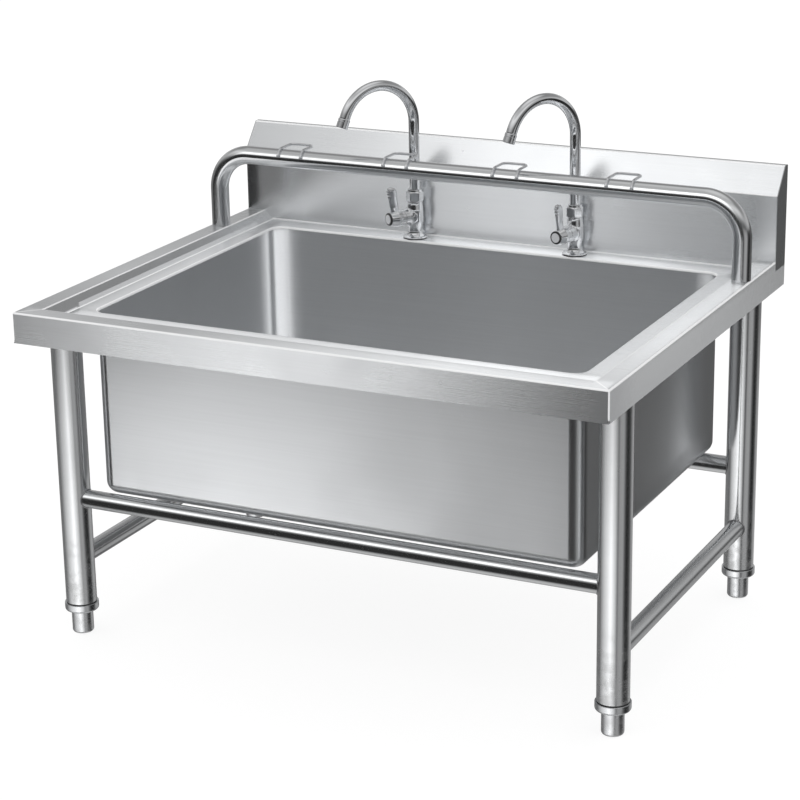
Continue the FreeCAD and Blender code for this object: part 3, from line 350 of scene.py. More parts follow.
def rounded_loop(half: float, front: float, back: float, radius: float,
                 arc: int = 14, side: int = 18) -> Array:
    """A rectangle with round corners as one closed line with a fixed number of points.

    Each corner is a quarter circle and each side is divided evenly, so loops of different sizes
    match point by point.

    Args:
        half: half the size along X.
        front: lowest Y.
        back: highest Y.
        radius: corner radius.
        arc: spans of a corner.
        side: spans of a side.

    Returns:
        Points (n, 2), against the clock from the middle of the right side's lower corner.
    """
    corners = [(half - radius, front + radius, -90), (half - radius, back - radius, 0),
               (-half + radius, back - radius, 90), (-half + radius, front + radius, 180)]
    out = []
    for k, (x, y, start) in enumerate(corners):
        angle = np.radians(start + np.linspace(0, 90, arc + 1))
        out.append(np.stack([x + radius * np.cos(angle), y + radius * np.sin(angle)], -1))
        nx, ny, begin = corners[(k + 1) % 4]
        turn = math.radians(begin)
        goal = np.array([nx + radius * math.cos(turn), ny + radius * math.sin(turn)])
        share = np.linspace(0, 1, side + 1)[1:-1, None]
        out.append(out[-1][-1] * (1 - share) + goal * share)
    return np.concatenate(out)


def saw(height: Array, angle: Array, pitch: float) -> Array:
    """A thread's saw, 0 to 1: twice the way of (height / pitch - turn) to its nearest whole number."""
    phase = height / pitch - angle / (2 * math.pi)
    return np.abs(phase - np.round(phase)) * 2


def smooth(share: Array) -> Array:
    """The soft step 3t² - 2t³ of the share t, held to 0 to 1."""
    t = np.clip(share, 0, 1)
    return t * t * (3 - 2 * t)


# Node trees


class Nodes:
    """Places nodes in a tree and links them."""

    def __init__(self, tree: bpy.types.NodeTree) -> None:
        """Keeps the tree that nodes go into."""
        self.tree = tree

    def add(self, kind: str, settings: dict | None = None, **inputs: object) -> bpy.types.Node:
        """Adds a node.

        Args:
            kind: the node's type name.
            settings: attributes to set before the inputs.
            inputs: sockets by name, spaces written as underscores. A socket is linked, and anything
                else becomes the value.

        Returns:
            The new node.
        """
        node = self.tree.nodes.new(kind)
        for name, value in (settings or {}).items():
            setattr(node, name, value)
        for name, value in inputs.items():
            key = int(name[1:]) if name[0] == "i" and name[1:].isdigit() else name.replace("_", " ")
            self.feed(node.inputs[key], value)
        return node

    def feed(self, socket: bpy.types.NodeSocket, value: object) -> None:
        """Links a socket into an input, or sets the input's value.

        Args:
            socket: the input.
            value: a socket, or else the value to set.
        """
        if isinstance(value, bpy.types.NodeSocket):
            self.tree.links.new(value, socket)
        else:
            socket.default_value = value

    def math(self, operation: str, *values: object, clamp: bool = False) -> bpy.types.NodeSocket:
        """Adds one Math node.

        Args:
            operation: the node's operation.
            values: sockets or numbers for its inputs.
            clamp: keeps the result within 0 and 1.

        Returns:
            The result.
        """
        node = self.add("ShaderNodeMath", {"operation": operation, "use_clamp": clamp})
        for socket, value in zip(node.inputs, values):
            self.feed(socket, value)
        return node.outputs[0]

    def vector(self, operation: str, *values: object) -> bpy.types.NodeSocket:
        """Adds one Vector Math node.

        Args:
            operation: the node's operation.
            values: sockets or vectors for its inputs.

        Returns:
            The vector result.
        """
        node = self.add("ShaderNodeVectorMath", {"operation": operation})
        for socket, value in zip(node.inputs, values):
            self.feed(socket, value)
        return node.outputs[0]

    def ranged(self, value: object, low: float, high: float, to_low: float = 0.0, to_high: float = 1.0,
               soft: bool = True) -> bpy.types.NodeSocket:
        """Adds a clamped Map Range node.

        Args:
            value: what is mapped.
            low: the value that becomes to_low.
            high: the value that becomes to_high.
            to_low: the result at low.
            to_high: the result at high.
            soft: eases both ends, where else the map is straight.

        Returns:
            The result.
        """
        kind = {"interpolation_type": "SMOOTHSTEP" if soft else "LINEAR", "clamp": True}
        return self.add("ShaderNodeMapRange", kind, i0=value, i1=low, i2=high, i3=to_low,
                        i4=to_high).outputs[0]

    def blend(self, factor: object, first: object, second: object) -> bpy.types.NodeSocket:
        """Mixes two colours.

        Args:
            factor: 0 for the first and 1 for the second.
            first: a colour or a socket.
            second: a colour or a socket.

        Returns:
            The mixed colour.
        """
        node = self.add("ShaderNodeMix", {"data_type": "RGBA"})
        for index, value in ((0, factor), (6, first), (7, second)):
            self.feed(node.inputs[index], value)
        return node.outputs[2]

    def ramp(self, factor: object, stops: Stops) -> bpy.types.NodeSocket:
        """Adds a grey ramp.

        Args:
            factor: the place on the ramp.
            stops: positions from 0 to 1, each with its tone.

        Returns:
            The tone.
        """
        node = self.add("ShaderNodeValToRGB", None, Fac=factor)
        elements = node.color_ramp.elements
        for k, (spot, tone) in enumerate(stops):
            item = elements[k] if k < 2 else elements.new(spot)
            item.position = spot
            item.color = (tone, tone, tone, 1.0)
        return node.outputs[0]


class Port(Enum):
    """The kinds of socket a node group has."""

    NUMBER = "NodeSocketFloat"
    VECTOR = "NodeSocketVector"


class EffectGroup:
    """A shader node group that is built once and placed in every material that needs it.

    It takes inputs by name, kind and preset value, and gives outputs by name and kind.
    """

    name = "Effect"
    takes: tuple[tuple[str, Port, float], ...] = ()
    gives: tuple[tuple[str, Port], ...] = ()

    def tree(self) -> bpy.types.NodeTree:
        """Finds the group's node tree, or makes it on first use.

        Returns:
            The node tree.
        """
        found = bpy.data.node_groups.get(self.name)
        if found:
            return found
        tree = bpy.data.node_groups.new(self.name, "ShaderNodeTree")
        for label, port, preset in self.takes:
            socket = tree.interface.new_socket(name=label, in_out="INPUT", socket_type=port.value)
            if port is Port.NUMBER:
                socket.default_value = preset
        for label, port in self.gives:
            tree.interface.new_socket(name=label, in_out="OUTPUT", socket_type=port.value)
        nodes = Nodes(tree)
        begin, end = nodes.add("NodeGroupInput"), nodes.add("NodeGroupOutput")
        for label, socket in self.wire(nodes, begin.outputs).items():
            tree.links.new(socket, end.inputs[label])
        return tree

    def wire(self, nodes: Nodes, given: bpy.types.NodeInputs) -> dict[str, bpy.types.NodeSocket]:
        """Builds the effect inside the group and gives its outputs by name."""
        raise NotImplementedError

    def place(self, nodes: Nodes, **inputs: object) -> bpy.types.Node:
        """Puts the group into a material with its own values."""
        return nodes.add("ShaderNodeGroup", {"node_tree": self.tree()}, **inputs)


class GrainGroup(EffectGroup):
    """The fine scratches of brushed or polished metal, long one way and narrow the other."""

    name = "Metal grain"
    takes = (("Vector", Port.VECTOR, 0), ("Along", Port.NUMBER, 6), ("Across", Port.NUMBER, 900))
    gives = (("Scratch", Port.NUMBER), ("Streak", Port.NUMBER))
    # Each output's share of the fineness across the grain, and its noise's detail.
    layers = (("Scratch", 1.0, 3.0), ("Streak", 0.13, 1.5))
    coarse = 0.6

    def wire(self, nodes: Nodes, given: bpy.types.NodeInputs) -> dict[str, bpy.types.NodeSocket]:
        """Scratch is noise stretched along U. Streak is the same noise, broader and softer.

        Args:
            nodes: the group's nodes.
            given: sockets of the group's inputs.

        Returns:
            The two outputs by name.
        """
        parts = nodes.add("ShaderNodeSeparateXYZ", None, Vector=given["Vector"])
        along = nodes.math("MULTIPLY", parts.outputs[0], given["Along"])
        out = {}
        for label, share, detail in self.layers:
            across = nodes.math("MULTIPLY", given["Across"], share)
            second = nodes.math("MULTIPLY", parts.outputs[1], across)
            third = nodes.math("MULTIPLY", parts.outputs[2], across)
            spot = nodes.add("ShaderNodeCombineXYZ", None, X=along, Y=second, Z=third)
            noise = nodes.add("ShaderNodeTexNoise", None, Vector=spot.outputs[0], Scale=1.0, Detail=detail,
                              Roughness=self.coarse)
            out[label] = noise.outputs[0]
        return out


class HandlingGroup(EffectGroup):
    """Wipe marks, fingerprints' haze and dried drops on handled metal."""

    name = "Handling marks"
    takes = (("Vector", Port.VECTOR, 0), ("Size", Port.NUMBER, 3))
    gives = (("Haze", Port.NUMBER), ("Drops", Port.NUMBER))
    # How far the clouds are bent, and the part of their noise that becomes haze.
    bend = 0.25
    bend_detail = 2.0
    cloud_detail = 4.0
    coarse = 0.55
    cloud = (0.38, 0.68)
    # Drops: how much finer they are, the rings' size and width, and the share without one.
    fineness = 26.0
    ring = 0.16
    ring_width = 0.03
    bare = 0.93

    def wire(self, nodes: Nodes, given: bpy.types.NodeInputs) -> dict[str, bpy.types.NodeSocket]:
        """Haze is cloudy noise bent by other noise. Drops are small rings round scattered points.

        Args:
            nodes: the group's nodes.
            given: sockets of the group's inputs.

        Returns:
            The two outputs by name.
        """
        scale = given["Size"]
        bend = nodes.add("ShaderNodeTexNoise", None, Vector=given["Vector"], Scale=scale,
                         Detail=self.bend_detail)
        shift = nodes.vector("SCALE", bend.outputs[1])
        nodes.feed(shift.node.inputs[3], self.bend)
        moved = nodes.vector("ADD", given["Vector"], shift)
        cloud = nodes.add("ShaderNodeTexNoise", None, Vector=moved, Scale=scale, Detail=self.cloud_detail,
                          Roughness=self.coarse)
        haze = nodes.ranged(cloud.outputs[0], *self.cloud)
        fine = nodes.math("MULTIPLY", scale, self.fineness)
        cells = nodes.add("ShaderNodeTexVoronoi", None, Vector=given["Vector"], Scale=fine)
        ring = nodes.math("ABSOLUTE", nodes.math("SUBTRACT", cells.outputs[0], self.ring))
        rim = nodes.ranged(ring, 0.0, self.ring_width, 1.0, 0.0)
        tone = nodes.add("ShaderNodeSeparateColor", None, Color=cells.outputs[1])
        few = nodes.math("GREATER_THAN", tone.outputs[0], self.bare)
        return {"Haze": haze, "Drops": nodes.math("MULTIPLY", rim, few)}


class SettledGroup(EffectGroup):
    """Dust and splashes that gather low down, thinning with height."""

    name = "Settled dust"
    takes = (("Vector", Port.VECTOR, 0), ("Height", Port.NUMBER, 0.1))
    gives = (("Dust", Port.NUMBER),)
    grain = 60.0
    detail = 5.0
    broken = (0.35, 0.7)

    def wire(self, nodes: Nodes, given: bpy.types.NodeInputs) -> dict[str, bpy.types.NodeSocket]:
        """Dust is 1 at the floor and 0 at the height, broken up by noise.

        Args:
            nodes: the group's nodes.
            given: sockets of the group's inputs.

        Returns:
            The mask by name.
        """
        parts = nodes.add("ShaderNodeSeparateXYZ", None, Vector=given["Vector"])
        share = nodes.math("DIVIDE", parts.outputs[2], given["Height"])
        low = nodes.math("SUBTRACT", 1.0, share, clamp=True)
        noise = nodes.add("ShaderNodeTexNoise", None, Vector=given["Vector"], Scale=self.grain,
                          Detail=self.detail)
        return {"Dust": nodes.math("MULTIPLY", low, nodes.ranged(noise.outputs[0], *self.broken))}


class LineGroup(EffectGroup):
    """Painted highlight lines where a sheet is bent, in metres from the middle of the sink's floor."""

    takes = (("Vector", Port.VECTOR, 0), ("Width", Port.NUMBER, 0.0013))
    gives = (("Line", Port.NUMBER),)
    half_length = 0.5

    @staticmethod
    def above(nodes: Nodes, value: object, level: float) -> bpy.types.NodeSocket:
        """1 where the value is more than the level."""
        return nodes.math("GREATER_THAN", value, level)

    @staticmethod
    def near(nodes: Nodes, value: object, spot: float, width: object) -> bpy.types.NodeSocket:
        """1 where the value is within the width of a spot."""
        return nodes.math("LESS_THAN", nodes.math("ABSOLUTE", nodes.math("SUBTRACT", value, spot)), width)

    @staticmethod
    def either(nodes: Nodes, *masks: bpy.types.NodeSocket) -> bpy.types.NodeSocket:
        """Joins masks: the largest of them.

        Args:
            nodes: the group's nodes.
            masks: two or more masks.

        Returns:
            The joined mask.
        """
        joined = masks[0]
        for mask in masks[1:]:
            joined = nodes.math("MAXIMUM", joined, mask)
        return joined

    def inside_end(self, nodes: Nodes, x: object) -> bpy.types.NodeSocket:
        """How far a point lies inside the nearer end: half the length less |x|."""
        return nodes.math("SUBTRACT", self.half_length, nodes.math("ABSOLUTE", x))


class BendGroup(LineGroup):
    """The painted highlight lines where the sheet of the top is bent and rolled."""

    name = "Painted bend highlights"
    front = 0.4
    # Distances inside the outline: the outer bend, the end of the strip and the end of the bevel.
    # Each has its share of the width.
    outer, outer_share = 0.001, 1.3
    strip, strip_share = 0.034, 1.0
    bevel, bevel_share = 0.051, 0.8
    mitre_share = 1.1
    # The upright corners of the apron, and the lowest heights of the lines.
    upright = 0.0022
    upright_low, roll_low, crease_low, outer_low = 0.53, 0.551, 0.5575, 0.5725
    # The opening: its middle, half its straight sides, and its corner radius with the roll's width.
    middle = (0.0, 0.005, 0.0)
    straight = (0.3965, 0.279, 0.0)
    roll = 0.0253

    def wire(self, nodes: Nodes, given: bpy.types.NodeInputs) -> dict[str, bpy.types.NodeSocket]:
        """Marks the creases for the painted highlight; they lie at fixed distances inside the top's
        outline.

        The distance is the smaller of those from the nearer end and from the front. The mitres are
        where both are equal, and the upright corners where their sum is small. The roll is where
        the distance from the opening's box of straight sides is less than its reach.

        Args:
            nodes: the group's nodes.
            given: sockets of the group's inputs.

        Returns:
            The mask by name.
        """
        x, y, z = nodes.add("ShaderNodeSeparateXYZ", None, Vector=given["Vector"]).outputs
        end = self.inside_end(nodes, x)
        front = nodes.math("ADD", y, self.front)
        inward = nodes.math("MINIMUM", end, front)

        def line(value: object, spot: float, share: float) -> bpy.types.NodeSocket:
            """A line at a spot, as wide as a share of the width."""
            return self.near(nodes, value, spot, nodes.math("MULTIPLY", given["Width"], share))

        outer = nodes.math("MULTIPLY", line(inward, self.outer, self.outer_share),
                           self.above(nodes, z, self.outer_low))
        mitre = nodes.math("MULTIPLY", line(nodes.math("SUBTRACT", end, front), 0.0, self.mitre_share),
                           nodes.math("LESS_THAN", inward, self.bevel))
        creases = self.either(nodes, line(inward, self.strip, self.strip_share),
                              line(inward, self.bevel, self.bevel_share), mitre)
        creases = nodes.math("MULTIPLY", creases, self.above(nodes, z, self.crease_low))
        upright = nodes.math("LESS_THAN", nodes.math("ADD", end, front), self.upright)
        upright = nodes.math("MULTIPLY", upright, self.above(nodes, z, self.upright_low))
        spot = nodes.vector("SUBTRACT", given["Vector"], self.middle)
        flat = nodes.vector("MULTIPLY", nodes.vector("ABSOLUTE", spot), (1.0, 1.0, 0.0))
        past = nodes.vector("MAXIMUM", nodes.vector("SUBTRACT", flat, self.straight), (0.0, 0.0, 0.0))
        length = nodes.add("ShaderNodeVectorMath", {"operation": "LENGTH"}, i0=past).outputs[1]
        roll = nodes.math("MULTIPLY", nodes.math("LESS_THAN", length, self.roll),
                          self.above(nodes, z, self.roll_low))
        return {"Line": self.either(nodes, outer, creases, upright, roll)}


class SplashLineGroup(LineGroup):
    """The painted highlight lines along the backsplash: its foot, its bend, its top and its two ends."""

    name = "Painted backsplash bend highlights"
    takes = (("Vector", Port.VECTOR, 0), ("Width", Port.NUMBER, 0.001))
    foot = 0.5615
    bends = (0.686, 0.7292)
    end = 0.0016
    rear = 0.39

    def wire(self, nodes: Nodes, given: bpy.types.NodeInputs) -> dict[str, bpy.types.NodeSocket]:
        """Marks the foot, heights near the bend and the top, and the last bit before the ends.

        Args:
            nodes: the group's nodes.
            given: sockets of the group's inputs.

        Returns:
            The mask by name.
        """
        x, y, z = nodes.add("ShaderNodeSeparateXYZ", None, Vector=given["Vector"]).outputs
        bends = [self.near(nodes, z, height, given["Width"]) for height in self.bends]
        ends = nodes.math("LESS_THAN", self.inside_end(nodes, x), self.end)
        marks = self.either(nodes, nodes.math("LESS_THAN", z, self.foot), *bends, ends)
        return {"Line": nodes.math("MULTIPLY", marks, nodes.math("LESS_THAN", y, self.rear))}


GRAIN, HANDLING, SETTLED = GrainGroup(), HandlingGroup(), SettledGroup()
TOP_PAINTED_HIGHLIGHTS, SPLASH_PAINTED_HIGHLIGHTS = BendGroup(), SplashLineGroup()


# Finishes


class Lie(Enum):
    """The way that a metal's grain lies, which its highlights spread across."""

    SHEET = "along the length of the sink"
    PIECE = "round the piece, by its own UV map"


@dataclass(frozen=True)
class SteelFinish:
    """Stainless steel or chrome: colour, polish and how its grain lies."""

    name: str
    colour: tuple[float, float, float]
    roughness: float
    spread: float
    lie: Lie
    along: float = 5.0
    across: float = 2600.0
    grain: float = 0.05
    relief: float = 0.000004
    haze: float = 0.04
    size: float = 3.0
    dusty: float = 0.0
    # The group that marks the bends for a painted highlight, if any.
    lines: EffectGroup | None = None

    # How the grain's streaks, the haze and the drops change the colour and the roughness.
    streak_from, streak_tone = (0.3, 0.7), (0.985, 1.012)
    haze_tone, clean_tone = -0.05, 1.02
    drop_tone, drop_rough = 0.04, 0.08
    # The most dust, its colour, and how it dulls the metal.
    dust_most, dust_colour = 0.3, (0.42, 0.41, 0.39, 1.0)
    dust_rough, dust_metal = 0.5, 0.6
    # Painted highlights on the bends: their near-white colour, and the metallic share that they lose.
    line_colour, line_metal = (0.97, 0.975, 0.98, 1.0), 0.85
    bump = 0.35

    def material(self) -> bpy.types.Material:
        """Builds the material.

        The grain gives fine relief and varies the roughness, the haze dulls it in clouds, dried
        drops leave pale rings, and dust gathers low down where the finish is dusty. Where the group
        in lines marks the bends, a painted highlight turns them near white and less metallic.

        Returns:
            The new material.
        """
        made, nodes, shader = new_material(self.name)
        coords = nodes.add("ShaderNodeTexCoord")
        place = coords.outputs["Object"]
        path = coords.outputs["UV"] if self.lie is Lie.PIECE else place
        grain = GRAIN.place(nodes, Vector=path, Along=self.along, Across=self.across)
        marks = HANDLING.place(nodes, Vector=place, Size=self.size)
        haze, drops = marks.outputs["Haze"], marks.outputs["Drops"]
        tone = nodes.ranged(grain.outputs["Streak"], *self.streak_from, *self.streak_tone, soft=False)
        soiled = nodes.math("MULTIPLY_ADD", haze, self.haze_tone, self.clean_tone)
        tone = nodes.math("MULTIPLY", tone, soiled)
        tone = nodes.math("MULTIPLY_ADD", drops, self.drop_tone, tone)
        colour = nodes.vector("SCALE", self.colour)
        nodes.feed(colour.node.inputs[3], tone)
        scratch = nodes.math("SUBTRACT", grain.outputs["Scratch"], 0.5)
        rough = nodes.math("MULTIPLY_ADD", scratch, self.grain, self.roughness)
        rough = nodes.math("MULTIPLY_ADD", haze, self.haze, rough)
        rough = nodes.math("MULTIPLY_ADD", drops, self.drop_rough, rough)
        metal = 1.0
        if self.dusty:
            dust = SETTLED.place(nodes, Vector=place, Height=self.dusty)
            amount = nodes.math("MULTIPLY", dust.outputs[0], self.dust_most)
            colour = nodes.blend(amount, colour, self.dust_colour)
            rough = nodes.math("MULTIPLY_ADD", amount, self.dust_rough, rough)
            metal = nodes.math("SUBTRACT", 1.0, nodes.math("MULTIPLY", amount, self.dust_metal))
        if self.lines:
            # Painted highlight on the bends: near white and less metallic where the group marks them.
            highlight_mask = self.lines.place(nodes, Vector=place).outputs[0]
            colour = nodes.blend(highlight_mask, colour, self.line_colour)
            metal = nodes.math("MULTIPLY_ADD", highlight_mask, -self.line_metal, metal)
        bump = nodes.add("ShaderNodeBump", None, Strength=self.bump, Distance=self.relief,
                         Height=grain.outputs["Scratch"])
        nodes.feed(shader.inputs["Base Color"], colour)
        nodes.feed(shader.inputs["Roughness"], rough)
        nodes.feed(shader.inputs["Metallic"], metal)
        nodes.feed(shader.inputs["Normal"], bump.outputs[0])
        shader.inputs["Anisotropic"].default_value = self.spread
        if self.spread:
            if self.lie is Lie.PIECE:
                way = nodes.add("ShaderNodeTangent", {"direction_type": "UV_MAP"}).outputs[0]
            else:
                facing = nodes.add("ShaderNodeNewGeometry").outputs["Normal"]
                way = nodes.vector("NORMALIZE", nodes.vector("CROSS_PRODUCT", facing, (1.0, 0.001, 0.0)))
            nodes.feed(shader.inputs["Tangent"], way)
        return made


@dataclass(frozen=True)
class MouldedFinish:
    """Rubber or plastic: colour, gloss and the fine texture of its mould."""

    name: str
    colour: tuple[float, float, float]
    roughness: float
    texture: float = 900.0
    relief: float = 0.00004
    coat: float = 0.0

    detail, bump = 3.0, 0.4
    mottle_from, mottle_tone = (0.3, 0.7), (0.85, 1.12)
    marks = 12.0
    haze_share, haze_colour, haze_rough = 0.08, (0.5, 0.49, 0.47, 1.0), 0.12

    def material(self) -> bpy.types.Material:
        """Builds the material: mottled colour, uneven gloss and a fine pebbled relief.

        Returns:
            The new material.
        """
        made, nodes, shader = new_material(self.name)
        place = nodes.add("ShaderNodeTexCoord").outputs["Object"]
        pebble = nodes.add("ShaderNodeTexNoise", None, Vector=place, Scale=self.texture,
                           Detail=self.detail)
        haze = HANDLING.place(nodes, Vector=place, Size=self.marks).outputs["Haze"]
        tone = nodes.ranged(pebble.outputs[0], *self.mottle_from, *self.mottle_tone, soft=False)
        colour = nodes.vector("SCALE", self.colour)
        nodes.feed(colour.node.inputs[3], tone)
        pale = nodes.math("MULTIPLY", haze, self.haze_share)
        colour = nodes.blend(pale, colour, self.haze_colour)
        rough = nodes.math("MULTIPLY_ADD", haze, self.haze_rough, self.roughness)
        bump = nodes.add("ShaderNodeBump", None, Strength=self.bump, Distance=self.relief,
                         Height=pebble.outputs[0])
        nodes.feed(shader.inputs["Base Color"], colour)
        nodes.feed(shader.inputs["Roughness"], rough)
        nodes.feed(shader.inputs["Normal"], bump.outputs[0])
        shader.inputs["Coat Weight"].default_value = self.coat
        return made


def new_material(name: str) -> tuple[bpy.types.Material, Nodes, bpy.types.Node]:
    """An empty material with a Principled shader on its output.

    Args:
        name: the material's name.

    Returns:
        The material, its nodes and the shader.
    """
    made = bpy.data.materials.new(name)
    made.use_nodes = True
    made.node_tree.nodes.clear()
    nodes = Nodes(made.node_tree)
    shader = nodes.add("ShaderNodeBsdfPrincipled")
    nodes.add("ShaderNodeOutputMaterial", None, Surface=shader.outputs[0])
    return made, nodes, shader


class Finish(Enum):
    """Every finish on the sink."""

    TOP = SteelFinish("Worktop steel", (0.76, 0.772, 0.785), 0.27, 0.5, Lie.SHEET, size=2.4,
                      lines=TOP_PAINTED_HIGHLIGHTS)
    SPLASH = SteelFinish("Backsplash steel", (0.76, 0.772, 0.785), 0.25, 0.5, Lie.SHEET,
                         size=2.0, lines=SPLASH_PAINTED_HIGHLIGHTS)
    ENDS = SteelFinish("Backsplash end steel", (0.62, 0.632, 0.645), 0.25, 0.5, Lie.SHEET, size=2.0)
    BOWL = SteelFinish("Bowl steel", (0.75, 0.762, 0.775), 0.3, 0.55, Lie.SHEET, size=2.2)
    FRAME = SteelFinish("Shelf steel", (0.62, 0.63, 0.64), 0.38, 0.4, Lie.SHEET, haze=0.08)
    TUBE = SteelFinish("Polished tube", (0.77, 0.78, 0.79), 0.2, 0.8, Lie.PIECE, along=700.0, across=5.0,
                       dusty=0.2)
    RAIL = SteelFinish("Polished rail", (0.77, 0.78, 0.79), 0.2, 0.8, Lie.PIECE, along=700.0, across=5.0)
    BAR = SteelFinish("Polished bar", (0.8, 0.81, 0.82), 0.14, 0.8, Lie.PIECE, along=700.0, across=5.0)
    FOOT = SteelFinish("Turned foot steel", (0.74, 0.75, 0.765), 0.22, 0.6, Lie.PIECE, along=2600.0,
                       across=3.0, grain=0.1, dusty=0.05)
    WIRE = SteelFinish("Drawn wire", (0.8, 0.81, 0.83), 0.14, 0.0, Lie.PIECE, along=60.0, across=900.0)
    CHROME = SteelFinish("Chrome", (0.86, 0.87, 0.885), 0.05, 0.0, Lie.SHEET, along=120.0, across=150.0,
                         grain=0.015, relief=0.000008, haze=0.03, size=14.0)
    WASTE = SteelFinish("Waste steel", (0.74, 0.75, 0.76), 0.2, 0.0, Lie.SHEET, along=300.0, across=300.0)
    BEAD = SteelFinish("Weld bead", (0.5, 0.5, 0.51), 0.34, 0.0, Lie.PIECE, along=900.0, across=60.0,
                       grain=0.2, relief=0.0001)
    BRASS = SteelFinish("Brass", (0.78, 0.6, 0.3), 0.3, 0.0, Lie.SHEET, along=200.0, across=200.0)
    RUBBER = MouldedFinish("Rubber", (0.025, 0.025, 0.027), 0.7)
    PLUG = MouldedFinish("Black plastic", (0.03, 0.03, 0.032), 0.5)
    BUTTON = MouldedFinish("Button plastic", (0.02, 0.02, 0.022), 0.28, coat=0.4)
    DISC = MouldedFinish("Disc plastic", (0.8, 0.81, 0.83), 0.3, coat=0.5)
    PIPE = MouldedFinish("Pipe plastic", (0.72, 0.73, 0.74), 0.4)

    def material(self) -> bpy.types.Material:
        """The finish's material, built on first use."""
        return bpy.data.materials.get(self.value.name) or self.value.material()


# Putting pieces into the frame


def finish_piece(piece: bpy.types.Object, finish: Finish, body: str,
                 nodes: Iterable[str]) -> bpy.types.Object:
    """Gives a new piece its finish, its body and the CAD nodes that it stands for.

    Args:
        piece: the new object.
        finish: the finish it wears.
        body: the CAD body it rides on.
        nodes: CAD nodes it replaces.

    Returns:
        The same object.
    """
    piece.data.materials.append(finish.material())
    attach(piece, body)
    names = list(nodes)
    if names:
        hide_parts(*names)
    log.info("%-24s %6d faces, on %s", piece.name, len(piece.data.polygons), body)
    return piece


def dress_node(name: str, finish: Finish, angle: float = 34.0) -> None:
    """Keeps a CAD node and gives it a finish and clean shading.

    Its triangles are welded, split where two faces meet at more than the angle, and shaded by
    the area of the faces, all in modifiers.

    Args:
        name: the node.
        finish: the finish it wears.
        angle: the angle in degrees above which an edge stays sharp.
    """
    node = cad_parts[name]
    node.data.materials.clear()
    node.data.materials.append(finish.material())
    weld = node.modifiers.new("Weld", "WELD")
    weld.merge_threshold = WELD_REACH
    split = node.modifiers.new("Sharp edges", "EDGE_SPLIT")
    split.split_angle = math.radians(angle)
    split.use_edge_sharp = False
    weigh = node.modifiers.new("Even shading", "WEIGHTED_NORMAL")
    weigh.mode = "FACE_AREA"
    log.info("%-24s kept from the CAD", name)


# The sheet metal


@dataclass
class SheetMetal:
    """The worktop, the backsplash and the shelves under the top, kept from the CAD."""

    ends: tuple[str, ...] = ("backsplash_end_left", "backsplash_end_right")
    shelves: tuple[str, ...] = ("side_shelf_left", "side_shelf_right", "front_stiffener",
                                "back_stiffener", "leg_sockets")

    def build(self) -> None:
        """Dresses the nodes."""
        dress_node("worktop", Finish.TOP)
        dress_node("backsplash", Finish.SPLASH)
        for name in self.ends:
            dress_node(name, Finish.ENDS)
        for name in self.shelves:
            dress_node(name, Finish.FRAME)


@dataclass
class Bowl:
    """The pressed bowl, from its rim under the worktop's rolled edge to the waste hole."""

    half: float = 418.5
    front: float = -296.0
    back: float = 306.0
    top: float = 555.0
    floor: float = 251.0
    gauge: float = 1.5
    corner: float = 22.0
    bottom: float = 20.0
    hole: float = 42.3
    hole_y: float = 5.0
    lip: float = 0.5
    straight_from: float = 8.0
    wall_steps: int = 10
    bend_steps: int = 15
    floor_steps: int = 10

    def wall(self, grow: float) -> Array:
        """One side of the sheet as a stack of loops, from the rim down and in to the hole.

        Down the wall each loop is the rectangle with round corners. Round the bottom edge, by the
        angle b, it shrinks by R (1 - cos b) and sinks to floor + R (1 - sin b). On the floor it
        blends evenly into the hole's circle.

        Args:
            grow: 0 for the inside and the gauge for the outside.

        Returns:
            Points (loops, n, 3).
        """
        def loop(inset: float, height: float) -> Array:
            """The loop at a height, smaller than the wall's by the inset all round.

            Args:
                inset: how much smaller, on every side.
                height: above the floor.

            Returns:
                Points (n, 3).
            """
            flat = rounded_loop(self.half + grow - inset, self.front - grow + inset,
                                self.back + grow - inset, self.corner + grow - inset)
            return np.concatenate([flat, np.full((len(flat), 1), height)], 1)

        radius = self.bottom + grow
        low = self.floor - grow
        straight = np.linspace(self.top - self.straight_from, low + radius, self.wall_steps)
        loops = [loop(0, z) for z in (self.top, self.top - self.lip, *straight)]
        for bend in np.radians(np.linspace(0, 90, self.bend_steps)[1:]):
            loops.append(loop(radius * (1 - math.cos(bend)), low + radius * (1 - math.sin(bend))))
        edge = loops[-1]
        way = edge[:, :2] - np.array([0, self.hole_y])
        round_way = way / np.linalg.norm(way, axis=1)[:, None]
        ring = np.concatenate([round_way * self.hole + np.array([0, self.hole_y]),
                               np.full((len(edge), 1), low)], 1)
        for share in np.linspace(0, 1, self.floor_steps)[1:]:
            loops.append(edge * (1 - share) + ring * share)
        return np.stack(loops)

    def build(self) -> None:
        """Builds the bowl as one closed sheet: the inside down, the outside back up."""
        grid = np.concatenate([self.wall(0.0), self.wall(self.gauge)[::-1]])
        piece = Skin().add(grid, close_u=True).build("bowl_sheet", sharp=45)
        finish_piece(piece, Finish.BOWL, "frame", ["bowl"])


# The frame


